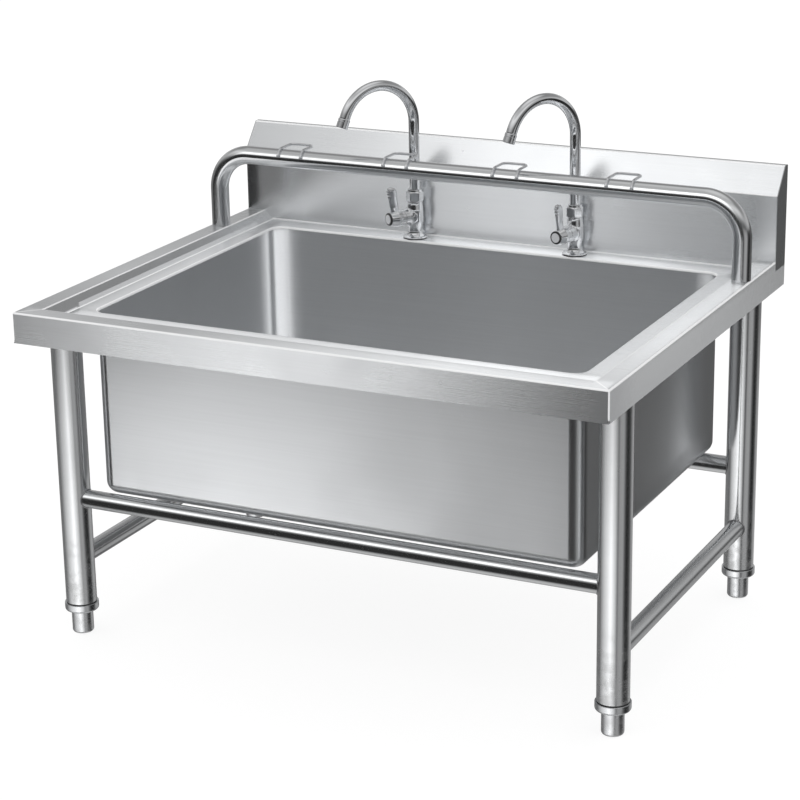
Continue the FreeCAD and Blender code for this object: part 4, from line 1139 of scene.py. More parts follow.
@dataclass
class Frame:
    """Four tube legs on screw feet, and the rails between them."""

    leg: float = 25.4
    leg_wall: float = 1.5
    leg_low: float = 55.5
    leg_top: float = 552.5
    reach: float = 472.0
    front: float = -298.0
    back: float = 286.0
    rail: float = 15.0
    rail_wall: float = 1.2
    front_rail: float = 237.7
    back_rail: float = 232.7
    side_rail: float = 130.0
    fit: float = 0.1
    neck: float = 17.75
    neck_top: float = 40.0
    neck_edge: float = 5.0
    collar: float = 28.0
    collar_top: float = 54.0
    collar_edge: float = 9.0
    stem: float = 6.0
    stem_top: float = 100.0
    stem_steps: int = 190
    pitch: float = 1.75
    thread_depth: float = 0.85
    rim: float = 0.3
    low_rim: float = 0.6
    foot_root: float = 0.6
    foot_flare: float = 1.2
    stem_root: float = 0.4
    stem_tip: float = 1.5
    bead_size: float = 1.15
    bead_out: float = 0.25
    ripple: float = 0.16
    ripples: int = 34

    def corners(self) -> dict[str, tuple[float, float]]:
        """The legs' places by corner."""
        return {"front_left": (-self.reach, self.front), "front_right": (self.reach, self.front),
                "back_left": (-self.reach, self.back), "back_right": (self.reach, self.back)}

    def build(self) -> None:
        """Builds the legs, feet and rails."""
        for corner, (x, y) in self.corners().items():
            self.build_leg(corner, x, y)
            self.build_foot(corner, x, y)
        half = (self.back - self.front) / 2
        middle = (self.back + self.front) / 2
        along = Placing((0, 0, 0), (0, 1, 0), (0, 0, 1), (1, 0, 0))
        across = Placing((0, 0, 0), (-1, 0, 0), (0, 0, 1), (0, 1, 0))
        for name, spot, way, size in (
                ("rail_front", (0, self.front, self.front_rail), along, self.reach),
                ("rail_back", (0, self.back, self.back_rail), along, self.reach),
                ("rail_left", (-self.reach, middle, self.side_rail), across, half),
                ("rail_right", (self.reach, middle, self.side_rail), across, half)):
            place = Placing(spot, way.x_axis, way.y_axis, way.z_axis)
            self.build_rail(name, place, size)
        dress_node("leg_plugs", Finish.PLUG)

    def build_leg(self, corner: str, x: float, y: float) -> None:
        """One leg: a ring section with rounded rims, carried round the leg's axis.

        Args:
            corner: the leg's corner.
            x: the axis along X.
            y: the axis along Y.
        """
        bore = self.leg - self.leg_wall
        section = rounded([(bore, self.leg_low, self.rim), (self.leg, self.leg_low, self.low_rim),
                           (self.leg, self.leg_top, self.rim), (bore, self.leg_top, self.rim)], 3)
        grid = turned(section, Placing((x, y, 0)), 96)
        piece = Skin().add(grid, close_u=True).build("leg_tube_" + corner)
        finish_piece(piece, Finish.TUBE, "frame", ["leg_" + corner])

    def build_foot(self, corner: str, x: float, y: float) -> None:
        """One foot: neck, collar and a threaded stem, turned on the leg's axis.

        The thread takes its depth times a saw off the radius.

        Args:
            corner: the leg's corner.
            x: the axis along X.
            y: the axis along Y.
        """
        profile = rounded([
            (0, 0, 0), (self.neck, 0, self.neck_edge), (self.neck, self.neck_top - self.foot_root, 0.5),
            (self.neck + self.foot_flare, self.neck_top, self.foot_root),
            (self.collar, self.neck_top, self.collar_edge), (self.collar, self.collar_top, 0.9),
            (self.stem + self.foot_flare, self.collar_top, 0),
            (self.stem, self.collar_top - self.stem_root, 0)], 8, closed=False)
        heights = np.linspace(self.collar_top - self.stem_root, self.stem_top - self.stem_tip,
                              self.stem_steps)
        stem = np.stack([np.full_like(heights, self.stem), heights], -1)
        tip = np.array([[self.stem - self.stem_tip, self.stem_top], [0, self.stem_top]])
        whole = np.concatenate([profile, stem, tip])

        def thread(radius: Array, height: Array, angle: Array) -> Array:
            """The radius less the saw, from just above the collar to just below the tip."""
            inside = (height > self.collar_top + 0.8) & (height < self.stem_top - 1.2)
            return radius - np.where(inside, saw(height, angle, self.pitch) * self.thread_depth, 0.0)

        grid = turned(divided(whole, 6.0), Placing((x, y, 0)), 72, thread)
        piece = Skin().add(grid).build("foot_screw_" + corner, sharp=50)
        finish_piece(piece, Finish.FOOT, "screw_foot_" + corner, ["foot_" + corner])

    def build_rail(self, name: str, place: Placing, size: float) -> None:
        """One rail between two legs, with the weld beads at its ends.

        At the angle a round the rail, the end lies where the leg's surface is: at the leg's axis
        less the root of (leg radius)² - (rail radius cos a)².

        Args:
            name: the CAD node.
            place: the rail's frame, with Z along it and its middle at the origin.
            size: from the middle to a leg's axis.
        """
        angle = round_angles(48)
        share = np.linspace(-1, 1, 41)[:, None]

        def run(radius: float) -> Array:
            """The rail's surface from end to end.

            Args:
                radius: of the surface.

            Returns:
                Points (41, 48, 3).
            """
            end = size - np.sqrt((self.leg + self.fit) ** 2 - (radius * np.cos(angle)) ** 2)
            flat = np.broadcast_to(angle, (len(share), len(angle)))
            return np.stack([radius * np.cos(flat), radius * np.sin(flat), share * end[None, :]], -1)

        grid = np.concatenate([run(self.rail), run(self.rail - self.rail_wall)[::-1]])
        piece = Skin().add(place.put(grid), close_u=True).build(name + "_tube")
        finish_piece(piece, Finish.RAIL, "frame", [name])
        beads = Skin()
        for side in (-1, 1):
            beads.add(place.put(self.bead(size, side)), close_u=True)
        bead = beads.build(name + "_welds")
        finish_piece(bead, Finish.BEAD, "frame", [])

    def bead(self, size: float, side: int) -> Array:
        """A weld bead round a rail's end.

        Its middle line lies on the leg at the rail's outline. A small circle is carried along it,
        whose radius is size (1 + ripple sin(ripples a)).

        Args:
            size: from the rail's middle to the leg's axis.
            side: -1 or 1 for the end.

        Returns:
            A grid that closes both ways.
        """
        angle = round_angles(272)[:, None]
        swing = round_angles(10)[None, :]
        line = self.rail + self.bead_out
        surface = np.sqrt(self.leg ** 2 - (line * np.cos(angle)) ** 2)
        bulge = self.bead_size * (1 + self.ripple * np.sin(self.ripples * angle))
        out = line + bulge * np.cos(swing)
        deep = size - surface + bulge * np.sin(swing)
        return np.stack([out * np.cos(angle), out * np.sin(angle), side * deep], -1)


# The mop bar


@dataclass
class MopBar:
    """The arched tube over the back of the sink, with four wire clips."""

    radius: float = 16.0
    wall: float = 1.5
    reach: float = 483.0
    y: float = 222.0
    low: float = 575.0
    height: float = 706.0
    bend: float = 72.0
    wire: float = 2.25
    clips: tuple[float, ...] = (-332.5, -129.5, 73.5, 276.5)
    clip_width: float = 44.0
    clip_reach: float = 24.0
    clip_corner: float = 10.0
    lift: float = 90.0
    wrap: float = 75.0
    fit: float = 0.1

    def build(self) -> None:
        """Builds the bar and its clips."""
        corners = [(-self.reach, self.y, self.low, 0), (-self.reach, self.y, self.height, self.bend),
                   (self.reach, self.y, self.height, self.bend), (self.reach, self.y, self.low, 0)]
        path = divided(rounded(corners, 26, closed=False), 30.0)
        piece = Skin().add(pipe(path, self.radius, self.wall, 64), close_u=True).build("mop_bar_tube")
        finish_piece(piece, Finish.BAR, "frame", ["mop_bar"])
        for number, x in enumerate(self.clips, start=1):
            self.build_clip("clip_%d" % number, x)
        dress_node("bar_plugs", Finish.FRAME)
        dress_node("bar_nuts", Finish.FRAME)

    def clip_path(self, x: float) -> Array:
        """The line of one clip.

        Each leg hugs the bar on a circle about the bar's axis, leaves it along the tangent, and
        turns a corner into the cross wire.

        Args:
            x: the clip's middle.

        Returns:
            Points (n, 3) from one free end to the other.
        """
        hug = self.radius + self.wire + self.fit
        lift = math.radians(self.lift)
        sweep = np.radians(np.linspace(self.lift + self.wrap, self.lift, 22))
        half = self.clip_width / 2
        hook = np.stack([self.y + hug * np.cos(sweep), self.height + hug * np.sin(sweep)], -1)
        out = np.array([math.sin(lift), -math.cos(lift)])
        end = hook[-1] + out * (self.clip_reach + self.clip_corner)
        left = np.concatenate([np.full((len(hook), 1), x - half), hook], 1)
        right = left[::-1] * [1, 1, 1] + [self.clip_width, 0, 0]
        corner = [[x - half, *hook[-1], 0], [x - half, *end, self.clip_corner],
                  [x + half, *end, self.clip_corner], [x + half, *hook[-1], 0]]
        loop = rounded(corner, 10, closed=False)
        return np.concatenate([left[:-1], divided(loop, 4.0), right[1:]])

    def build_clip(self, name: str, x: float) -> None:
        """Builds one clip of round wire with domed ends.

        Args:
            name: the CAD node.
            x: the clip's middle.
        """
        grid = wire(self.clip_path(x), self.wire)
        piece = Skin().add(grid).build(name + "_wire", sharp=60)
        finish_piece(piece, Finish.WIRE, "frame", [name])


# The taps


@dataclass
class Tap:
    """One pillar tap: body, valve nose, lever, swan neck and its outlet."""

    side: str
    x: float
    nose_turn: float
    spout_turn: float
    y: float = 328.0
    deck: float = 559.0
    shank: float = 10.4
    shank_length: float = 50.0
    gasket: float = 1.0
    flange: float = 21.3
    neck: float = 11.8
    waist: float = 14.8
    shoulder: float = 13.2
    shoulder_height: float = 66.5
    thread: float = 11.5
    thread_top: float = 77.0
    nose_height: float = 39.0
    boss: float = 14.0
    boss_reach: float = 24.0
    hub_start: float = 30.4
    hub_web: float = 9.6
    hub_length: float = 20.5
    hub_belly: float = 11.0
    hub_back: float = 14.8
    hub_front: float = 11.2
    hub_recess: float = 9.3
    bore: float = 3.5
    rise: float = 57.0
    thickness: float = 8.0
    root_width: float = 15.0
    tip_width: float = 20.0
    lean: float = 5.0
    nut: float = 15.3
    nut_corner: float = 16.0
    nut_height: float = 21.0
    nut_neck: float = 12.2
    nut_shoulder: float = 5.5
    spout: float = 9.2
    spout_wall: float = 1.2
    spout_low: float = 53.0
    spout_bend: float = 70.0
    bend_height: float = 207.0
    bend_angle: float = 158.0
    end_length: float = 7.0
    outlet: float = 10.3
    outlet_length: float = 16.0
    foot_from: float = 3.5
    foot_height: float = 11.5
    foot_radius: float = 19.6
    swell_from: float = 15.0
    swell_height: float = 17.0
    narrow_from: float = 46.0
    groove: float = 9.6
    groove_low: float = -14.0
    groove_high: float = -12.0
    socket: float = 5.0
    pitch: float = 1.8
    thread_depth: float = 0.8
    flare: float = 2.2
    flare_most: float = 2.0
    seat: float = 9.1
    seat_depth: float = 4.5
    # The blade. Its edges are shares of its width by shares of its height.
    back_edge: Stops = ((0, 0), (0.5, 0), (0.8, 0.01), (0.88, 0.04), (0.96, 0.16), (1, 0.5))
    front_edge: Stops = ((0, 1), (0.2, 1), (0.5, 0.97), (0.8, 1), (0.86, 0.98), (0.93, 0.9), (0.98, 0.75),
                         (1, 0.5))
    hollows: tuple[float, ...] = (0.89, 0.77, 0.65)
    hollow_depth: float = 1.3
    hollow_run: float = 0.03
    thin: float = 0.3
    thin_at: float = 0.3
    thin_run: float = 0.22
    dome_run: float = 0.14
    blade_power: float = 2.6

    def upright(self, turn: float = 0.0, level: float = 0.0) -> Placing:
        """A frame on the tap's axis, with -Y towards the front.

        Args:
            turn: how far it is turned, in degrees.
            level: height above the deck.

        Returns:
            The frame.
        """
        a = math.radians(turn)
        return Placing((self.x, self.y, self.deck + level), (math.cos(a), -math.sin(a), 0),
                       (math.sin(a), math.cos(a), 0))

    def along_nose(self) -> Placing:
        """A frame on the nose's axis.

        Returns:
            The frame, with Z out along the nose, Y up and X to the side.
        """
        a = math.radians(self.nose_turn)
        return Placing((self.x, self.y, self.deck + self.nose_height), (math.cos(a), -math.sin(a), 0),
                       (0, 0, 1), (-math.sin(a), -math.cos(a), 0))

    def name(self, piece: str) -> str:
        """The CAD node of one of the tap's pieces."""
        return "tap_%s_%s" % (self.side, piece)

    def build(self) -> None:
        """Builds what shows of the tap and dresses the rest."""
        self.build_body()
        self.build_lever()
        self.build_nut()
        self.build_spout()
        self.build_outlet()
        self.build_button()
        dress_node(self.name("cartridge"), Finish.CHROME)
        dress_node(self.name("spindle"), Finish.BRASS)
        dress_node(self.name("screw"), Finish.WASTE)
        dress_node(self.name("index_disc"), Finish.DISC)

    def outline(self, height: Array) -> Array:
        """The body's radius at a height above the deck.

        It falls from the flange in a hollow curve to the neck, swells softly to the waist and
        narrows softly to the shoulder.

        Args:
            height: heights above the deck.

        Returns:
            The radii.
        """
        low = np.clip((height - self.foot_from) / self.foot_height, 0, 1)
        hollow = self.neck + (self.foot_radius - self.neck) * (1 - np.sqrt(1 - (1 - low) ** 2))
        swell = hollow + (self.waist - self.neck) * smooth((height - self.swell_from) / self.swell_height)
        narrow = smooth((height - self.narrow_from) / (self.shoulder_height - self.narrow_from))
        return swell - (self.waist - self.shoulder) * narrow

    def column(self) -> Array:
        """The body turned on its axis: shank, flange, waist, shoulder and the thread for the nut.

        Both threads take their depth times a saw off the radius.

        Returns:
            A grid that closes along U.
        """
        heights = np.linspace(3.9, self.shoulder_height - 0.8, 64)
        side = np.stack([self.outline(heights), heights], -1)
        top = self.shoulder_height
        bore = self.spout + 0.08
        threads = np.linspace(top + 0.4, self.thread_top - 1, 60)
        shank = np.linspace(-self.shank_length + 1.2, self.groove_low - 1, 130)
        low_tail = -self.shank_length
        profile = np.concatenate([
            [[self.socket, low_tail], [self.shank - 1.2, low_tail]],
            np.stack([np.full_like(shank, self.shank), shank], -1),
            [[self.shank, self.groove_low - 0.2], [self.groove, self.groove_low],
             [self.groove, self.groove_high], [self.shank, self.groove_high + 0.2],
             [self.shank, self.gasket],
             [self.flange - 0.6, self.gasket], [self.flange, self.gasket + 0.6],
             [self.flange, self.gasket + 1.3], [self.flange - 0.5, self.gasket + 2.1],
             [self.flange - 1.2, self.gasket + 2.6]],
            side,
            [[self.shoulder - 0.3, top - 0.3], [self.shoulder - 0.8, top], [self.thread, top]],
            np.stack([np.full_like(threads, self.thread), threads], -1),
            [[self.thread - 0.9, self.thread_top], [bore, self.thread_top], [bore, self.spout_low - 0.3],
             [self.socket, self.spout_low - 0.3]],
        ])

        def threaded(radius: Array, height: Array, angle: Array) -> Array:
            """The radius less the saw, on the shank and on the neck over the shoulder.

            Args:
                radius: of the smooth form, at each point.
                height: along the axis, at each point.
                angle: round the axis, at each point.

            Returns:
                The radius with the thread, at each point.
            """
            low = (radius > self.shank - 0.1) & (height < self.groove_low - 1.5)
            low &= height > -self.shank_length + 1.0
            high = (radius > self.thread - 0.1) & (height > top + 0.8) & (height < self.thread_top - 1)
            return radius - np.where(low | high, saw(height, angle, self.pitch) * self.thread_depth, 0.0)

        return turned(profile, self.upright(self.nose_turn), 96, threaded)

    def nose(self) -> Array:
        """The boss that carries the valve, flowing into the body, with the valve's seat in its end.

        It is a tube along the nose. Near the body it flares by flare exp(-d / flare), where d is
        the distance out from the body's surface at that angle.

        Returns:
            A grid that closes along U.
        """
        angle = round_angles(72)[None, :]
        reach = np.concatenate([np.linspace(3, self.boss_reach - 1.2, 44), [self.boss_reach - 0.4]])
        centre = self.outline(self.nose_height + self.boss * np.sin(angle))
        surface = np.sqrt(np.maximum(centre ** 2 - (self.boss * np.cos(angle)) ** 2, 0))
        away = np.clip(reach[:, None] - surface, 0, None)
        radius = self.boss + np.minimum(self.flare * np.exp(-away / self.flare), self.flare_most)
        radius[-1] = self.boss - 0.1
        rings = [np.stack([radius * np.cos(angle), radius * np.sin(angle),
                           np.broadcast_to(reach[:, None], radius.shape)], -1)]
        for size, depth in ((self.boss - 0.8, self.boss_reach), (self.seat, self.boss_reach),
                            (self.seat, self.seat_depth), (0.0, self.seat_depth), (0.0, 3.0)):
            rings.append(np.stack([size * np.cos(angle), size * np.sin(angle),
                                   np.full_like(angle, depth)], -1))
        return self.along_nose().put(np.concatenate(rings))

    def build_body(self) -> None:
        """Builds the body and its nose as one piece."""
        skin = Skin().add(self.column(), close_u=True).add(self.nose(), close_u=True)
        piece = skin.build(self.name("body") + "_cast", sharp=42)
        finish_piece(piece, Finish.CHROME, "frame", [self.name("body")])

    def hub(self) -> Array:
        """The lever's hub, turned on the nose: a rounded belly, and a recess for the button.

        Returns:
            A grid that closes along U.
        """
        start, end = self.hub_start, self.hub_start + self.hub_length
        section = rounded([
            (self.bore, start, 0), (self.hub_back - 0.6, start, 1.2),
            (self.hub_back, start + self.hub_belly * 0.7, 9), (self.hub_front, end, 1.2),
            (self.hub_recess, end, 0.2), (self.hub_recess, start + self.hub_web, 0.2),
            (self.bore, start + self.hub_web, 0)], 4)
        return turned(section, self.along_nose(), 72)

    def blade(self) -> Array:
        """The lever's blade.

        Its section is an oval with a power: half the width along the nose and half the thickness
        across it. The front edge has hollows, each depth exp(-((t - g) / run)²) deep round a share
        g of the height. The blade is thinner by thin exp(-((t - at) / run)²), and its thickness
        ends in a quarter circle.

        Returns:
            A grid with the height along U.
        """
        swing = np.radians(np.linspace(0, 90, 14)[1:])
        share = np.concatenate([np.linspace(0, 0.9, 64), 0.9 + 0.1 * np.sin(swing)])
        root = (self.hub_recess + self.hub_front) / 2
        height = root + (self.rise - root) * share
        width = self.root_width + (self.tip_width - self.root_width) * share
        base = self.hub_start + self.lean * share + self.lean / 2
        back = base + width * np.interp(share, *zip(*self.back_edge))
        front = base + width * np.interp(share, *zip(*self.front_edge))
        for spot in self.hollows:
            front = front - self.hollow_depth * np.exp(-((share - spot) / self.hollow_run) ** 2)
        half_width = np.maximum((front - back) / 2, 0.0)
        middle = (front + back) / 2
        thin = 1 - self.thin * np.exp(-((share - self.thin_at) / self.thin_run) ** 2)
        dome = np.clip(share - (1 - self.dome_run), 0, 1) / self.dome_run
        half_thick = self.thickness / 2 * thin * np.sqrt(np.clip(1 - dome ** 2, 0, 1))
        count = 40
        angle = round_angles(count)[None, :]
        power = 2 / self.blade_power
        wide = np.sign(np.cos(angle)) * np.abs(np.cos(angle)) ** power
        thick = np.sign(np.sin(angle)) * np.abs(np.sin(angle)) ** power
        rings = np.stack([half_thick[:, None] * thick,
                          np.broadcast_to(height[:, None], (len(share), count)),
                          middle[:, None] + half_width[:, None] * wide], -1)
        foot = np.broadcast_to(np.array([0.0, height[0], middle[0]]), (1, count, 3))
        return self.along_nose().put(np.concatenate([foot, rings]))

    def build_lever(self) -> None:
        """Builds the hub and the blade as one piece."""
        skin = Skin().add(self.hub(), close_u=True).add(self.blade())
        piece = skin.build(self.name("lever") + "_handle", sharp=50)
        finish_piece(piece, Finish.CHROME, "lever_" + self.side, [self.name("lever")])

    def build_nut(self) -> None:
        """The hexagon nut: the radius is the smaller of the turned form's and the hexagon's.

        The hexagon's radius at the angle a is its flat's distance over cos of the angle from the
        middle of the flat.
        """
        low = self.shoulder_height + 0.1
        top = low + self.nut_height
        shoulder = top - self.nut_shoulder
        bore, cavity = self.spout + 0.08, self.thread + 0.1
        outside = rounded([(cavity, low, 0), (self.nut - 1.2, low, 0), (self.nut, low + 1.0, 0),
                           (self.nut, shoulder - 0.2, 0), (self.nut_neck + 0.4, shoulder + 1.8, 0.4),
                           (self.nut_neck, top, 0.7), (bore, top, 0)], 4, closed=False)
        inside = np.array([[bore, top - 8], [cavity, top - 8]])
        profile = np.concatenate([divided(outside, 0.7), inside])
        flat = self.nut_corner * math.cos(math.radians(30))

        def hexagon(radius: Array, height: Array, angle: Array) -> Array:
            """The smaller of the radius and the hexagon's, below the shoulder and outside.

            Args:
                radius: of the round form, at each point.
                height: along the axis, at each point.
                angle: round the axis, at each point.

            Returns:
                The radius with the six flats, at each point.
            """
            part = np.mod(angle, math.pi / 3) - math.pi / 6
            limit = flat / np.cos(part)
            inner = (radius < self.nut_neck + 0.5) | (height > shoulder + 1.5)
            return np.where(inner, radius, np.minimum(radius, limit))

        grid = turned(profile, self.upright(self.nose_turn), 180, hexagon)
        piece = Skin().add(grid, close_u=True).build(self.name("spout_nut") + "_hex", sharp=24)
        finish_piece(piece, Finish.CHROME, "frame", [self.name("spout_nut")])

    def neck_line(self, end: float) -> Array:
        """The swan neck's middle line: up, round the bend and straight out.

        In the bend, at the angle b, it is R (1 - cos b) out and R sin b above the riser.

        Args:
            end: length of the straight end.

        Returns:
            The line's points.
        """
        turn = math.radians(self.spout_turn)
        out = np.array([-math.sin(turn), -math.cos(turn)])
        bend = np.radians(np.linspace(0, self.bend_angle, 64))
        reach = self.spout_bend * (1 - np.cos(bend))
        level = self.bend_height + self.spout_bend * np.sin(bend)
        riser = np.linspace(self.spout_low, self.bend_height, 24)[:-1]
        tip = np.linspace(0, end, 4)[1:]
        reach = np.concatenate([np.zeros_like(riser), reach, reach[-1] + math.sin(bend[-1]) * tip])
        level = np.concatenate([riser, level, level[-1] + math.cos(bend[-1]) * tip])
        flat = np.array([self.x, self.y]) + reach[:, None] * out
        return np.concatenate([flat, self.deck + level[:, None]], 1)

    def build_spout(self) -> None:
        """The swan neck tube, and the collar that its nut holds."""
        tube = pipe(self.neck_line(self.end_length), self.spout, self.spout_wall, 48)
        skin = Skin().add(tube, close_u=True)
        low, high = self.thread_top + 0.3, self.shoulder_height + 0.1 + self.nut_height - 8.3
        ring = rounded([(self.spout - 0.4, low, 0), (11.2, low, 0.2), (11.2, high, 0.2),
                        (self.spout - 0.4, high, 0)], 2)
        skin.add(turned(ring, self.upright(self.spout_turn), 48), close_u=True)
        piece = skin.build(self.name("spout") + "_neck", sharp=45)
        finish_piece(piece, Finish.CHROME, "spout_" + self.side, [self.name("spout")])

    def build_outlet(self) -> None:
        """The aerator on the spout's end, turned, with a groove and ribs across its mouth."""
        line = self.neck_line(self.end_length)
        way = line[-1] - line[-2]
        way = way / np.linalg.norm(way)
        turn = math.radians(self.spout_turn)
        side = np.array([math.cos(turn), -math.sin(turn), 0.0])
        place = Placing(tuple(line[-1]), tuple(side), tuple(np.cross(way, side)), tuple(way))
        size, length = self.outlet, self.outlet_length
        ribs = np.linspace(7.4, 0, 30)
        mouth = np.stack([ribs, length - 5.4 + 0.5 * np.cos(ribs * 3.4)], -1)
        profile = np.concatenate([rounded([
            (0, 0, 0), (size, 0, 1.0), (size, 4.6, 0), (size - 0.5, 5.0, 0), (size - 0.5, 5.6, 0),
            (size, 6.0, 0), (size, length, 0.9), (8.0, length, 0.4), (8.0, length - 5.4, 0)], 4,
            closed=False), mouth])
        piece = Skin().add(turned(profile, place, 60)).build(self.name("aerator") + "_tip", sharp=40)
        finish_piece(piece, Finish.CHROME, "spout_" + self.side, [self.name("aerator")])

    def build_button(self) -> None:
        """The black ring in the hub's end, with the pocket for the disc."""
        front = self.hub_start + self.hub_length
        face = front + 2.9
        profile = rounded([(0, front - 3.7, 0), (self.hub_recess - 0.1, front - 3.7, 0.3),
                           (self.hub_recess - 0.1, front + 0.1, 0), (self.hub_front, front + 0.1, 0.3),
                           (self.hub_front, face, 0.9), (8.3, face, 0.25), (8.3, face - 1.1, 0),
                           (0, face - 1.1, 0)], 4, closed=False)
        piece = Skin().add(turned(profile, self.along_nose(), 60)).build(self.name("button") + "_ring")
        finish_piece(piece, Finish.BUTTON, "lever_" + self.side, [self.name("button")])


@dataclass
class Waste:
    """The waste in the bowl's floor and the strainer in it."""

    metal: tuple[str, ...] = ("waste_body", "basket", "basket_knob")
    rubber: tuple[str, ...] = ("waste_gasket", "tap_gaskets")
    plastic: tuple[str, ...] = ("waste_ring_nut", "waste_tailpiece", "waste_tail_nut")
    brass: tuple[str, ...] = ("tap_lock_nuts",)

    def build(self) -> None:
        """Dresses the nodes."""
        groups = ((self.metal, Finish.WASTE), (self.rubber, Finish.RUBBER), (self.plastic, Finish.PIPE),
                  (self.brass, Finish.BRASS))
        for names, finish in groups:
            for name in names:
                dress_node(name, finish)


# The studio


@dataclass(frozen=True)
class Card:
    """A soft reflector that only some pieces see in their gloss.

    The stops are its light along its length. The soft share is where it fades out at its edges. A
    one-sided card shines only against the way that its faces point.
    """

    name: str
    receivers: tuple[str, ...]
    grid: Array
    stops: Stops
    strength: float = 1.0
    soft: float = 0.12
    one_sided: bool = False


@dataclass
class Studio:
    """Floor, world, reflectors and camera."""

    camera_place: tuple[float, float, float] = (1.653397, -3.376283, 1.607708)
    yaw: float = 26.414
    pitch: float = 18.141
    roll: float = -0.947
    lens: float = 108.37
    horizon: Stops = (
        (-180, 0.19), (-166, 0.12), (-158, 0.03), (-62, 0.03), (-52, 0.12), (-42, 0.36), (-17, 0.38),
        (-4, 0.11), (8, 0.02), (22, 0.02), (32, 0.05), (43, 0.1), (64, 0.11), (92, 0.12), (116, 0.25),
        (150, 0.2), (180, 0.19))
    front_sky: Stops = (
        (-90, 0.6), (-62, 0.55), (-47, 0.15), (8, 0.03), (17, 0.2), (27, 0.56), (40, 0.8), (50, 0.56),
        (64, 0.45), (75, 0.6), (90, 0.7))
    back_sky: Stops = (
        (-90, 0.6), (-62, 0.55), (-47, 0.25), (1, 0.25), (6, 0.5), (21, 0.5), (27, 0.3), (50, 0.24),
        (64, 0.6), (90, 0.75))
    # By share of the turn, the front sky's part, and by share of the height, the horizon's.
    forward: Stops = ((0.0, 0.5), (0.06, 1.0), (0.44, 1.0), (0.56, 0.0), (0.94, 0.0), (1.0, 0.5))
    near: Stops = ((0.0, 0.0), (0.24, 0.0), (0.27, 1.0), (0.505, 1.0), (0.54, 0.0), (1.0, 0.0))
    floor_reach: float = 9.0
    floor_paint: float = 0.2
    floor_glow: float = 0.86
    floor_matt: float = 0.8
    arc_reach: float = 4.0

    def build(self) -> None:
        """Builds the camera, the world, the floor and the cards."""
        scene = bpy.context.scene
        scene.view_settings.view_transform = "Standard"
        self.build_camera(scene)
        self.build_world(scene)
        self.build_floor()
        for card in self.room_cards() + self.near_cards():
            self.build_card(card)

    def build_camera(self, scene: bpy.types.Scene) -> None:
        """The camera at the photograph's place, from its yaw, pitch and roll.

        It looks against (sin yaw cos pitch, -cos yaw cos pitch, sin pitch), with its right side
        level and then rolled about that line.

        Args:
            scene: the scene that takes the camera.
        """
        yaw, pitch, roll = (math.radians(a) for a in (self.yaw, self.pitch, self.roll))
        back = Vector((math.sin(yaw) * math.cos(pitch), -math.cos(yaw) * math.cos(pitch), math.sin(pitch)))
        right = Vector((0, 0, 1)).cross(back).normalized()
        up = back.cross(right)
        across = right * math.cos(roll) + up * math.sin(roll)
        rise = up * math.cos(roll) - right * math.sin(roll)
        data = bpy.data.cameras.new("Camera")
        data.sensor_width = 36
        data.lens = self.lens
        data.clip_end = 50
        camera = bpy.data.objects.new("Camera", data)
        camera.matrix_world = Matrix.Translation(self.camera_place) @ Matrix(
            (across, rise, back)).transposed().to_4x4()
        scene.collection.objects.link(camera)
        scene.camera = camera

    def build_world(self, scene: bpy.types.Scene) -> None:
        """A white studio for the camera and matt surfaces, and a room of light and dark for gloss.

        The room is given by azimuth near the horizon and by height above and below it.

        Args:
            scene: the scene that takes the world.
        """
        world = bpy.data.worlds.new("Studio")
        world.use_nodes = True
        world.cycles.sampling_method = "NONE"
        world.node_tree.nodes.clear()
        scene.world = world
        nodes = Nodes(world.node_tree)
        way = nodes.add("ShaderNodeTexCoord").outputs["Generated"]
        parts = nodes.add("ShaderNodeSeparateXYZ", None, Vector=way).outputs
        round_angle = nodes.math("ARCTAN2", parts[1], parts[0])
        azimuth = nodes.ranged(round_angle, -math.pi, math.pi, soft=False)
        height = nodes.math("ARCSINE", parts[2])
        level = nodes.ranged(height, -math.pi / 2, math.pi / 2, soft=False)
        band = nodes.ramp(azimuth, [((a + 180) / 360, v) for a, v in self.horizon])
        front = nodes.ramp(level, [((e + 90) / 180, v) for e, v in self.front_sky])
        back = nodes.ramp(level, [((e + 90) / 180, v) for e, v in self.back_sky])
        sky = nodes.blend(nodes.ramp(azimuth, self.forward), back, front)
        room = nodes.blend(nodes.ramp(level, self.near), sky, band)
        path = nodes.add("ShaderNodeLightPath")
        shown = nodes.blend(path.outputs["Is Glossy Ray"], (1.0, 1.0, 1.0, 1.0), room)
        light = nodes.add("ShaderNodeBackground", None, Color=shown, Strength=1.0)
        nodes.add("ShaderNodeOutputWorld", None, Surface=light.outputs[0])

    def build_floor(self) -> None:
        """A white floor that keeps a soft shadow and that gloss doesn't see."""
        mesh = bpy.data.meshes.new("studio_floor")
        far = self.floor_reach
        mesh.from_pydata([(-far, -far, 0), (far, -far, 0), (far, far, 0), (-far, far, 0)], [],
                         [(0, 1, 2, 3)])
        floor = bpy.data.objects.new("studio_floor", mesh)
        bpy.context.scene.collection.objects.link(floor)
        floor.visible_glossy = False
        made = bpy.data.materials.new("Studio floor")
        made.use_nodes = True
        made.cycles.emission_sampling = "NONE"
        made.node_tree.nodes.clear()
        nodes = Nodes(made.node_tree)
        path = nodes.add("ShaderNodeLightPath").outputs["Is Camera Ray"]
        paint = nodes.add("ShaderNodeBsdfDiffuse", None, Color=(*[self.floor_paint] * 3, 1.0))
        glow = nodes.add("ShaderNodeEmission", None, Color=(1.0, 1.0, 1.0, 1.0), Strength=self.floor_glow)
        both = nodes.add("ShaderNodeAddShader", None, i0=paint.outputs[0], i1=glow.outputs[0])
        matt = nodes.add("ShaderNodeBsdfDiffuse", None, Color=(*[self.floor_matt] * 3, 1.0))
        mixed = nodes.add("ShaderNodeMixShader", None, i0=path, i1=matt.outputs[0], i2=both.outputs[0])
        nodes.add("ShaderNodeOutputMaterial", None, Surface=mixed.outputs[0])
        mesh.materials.append(made)

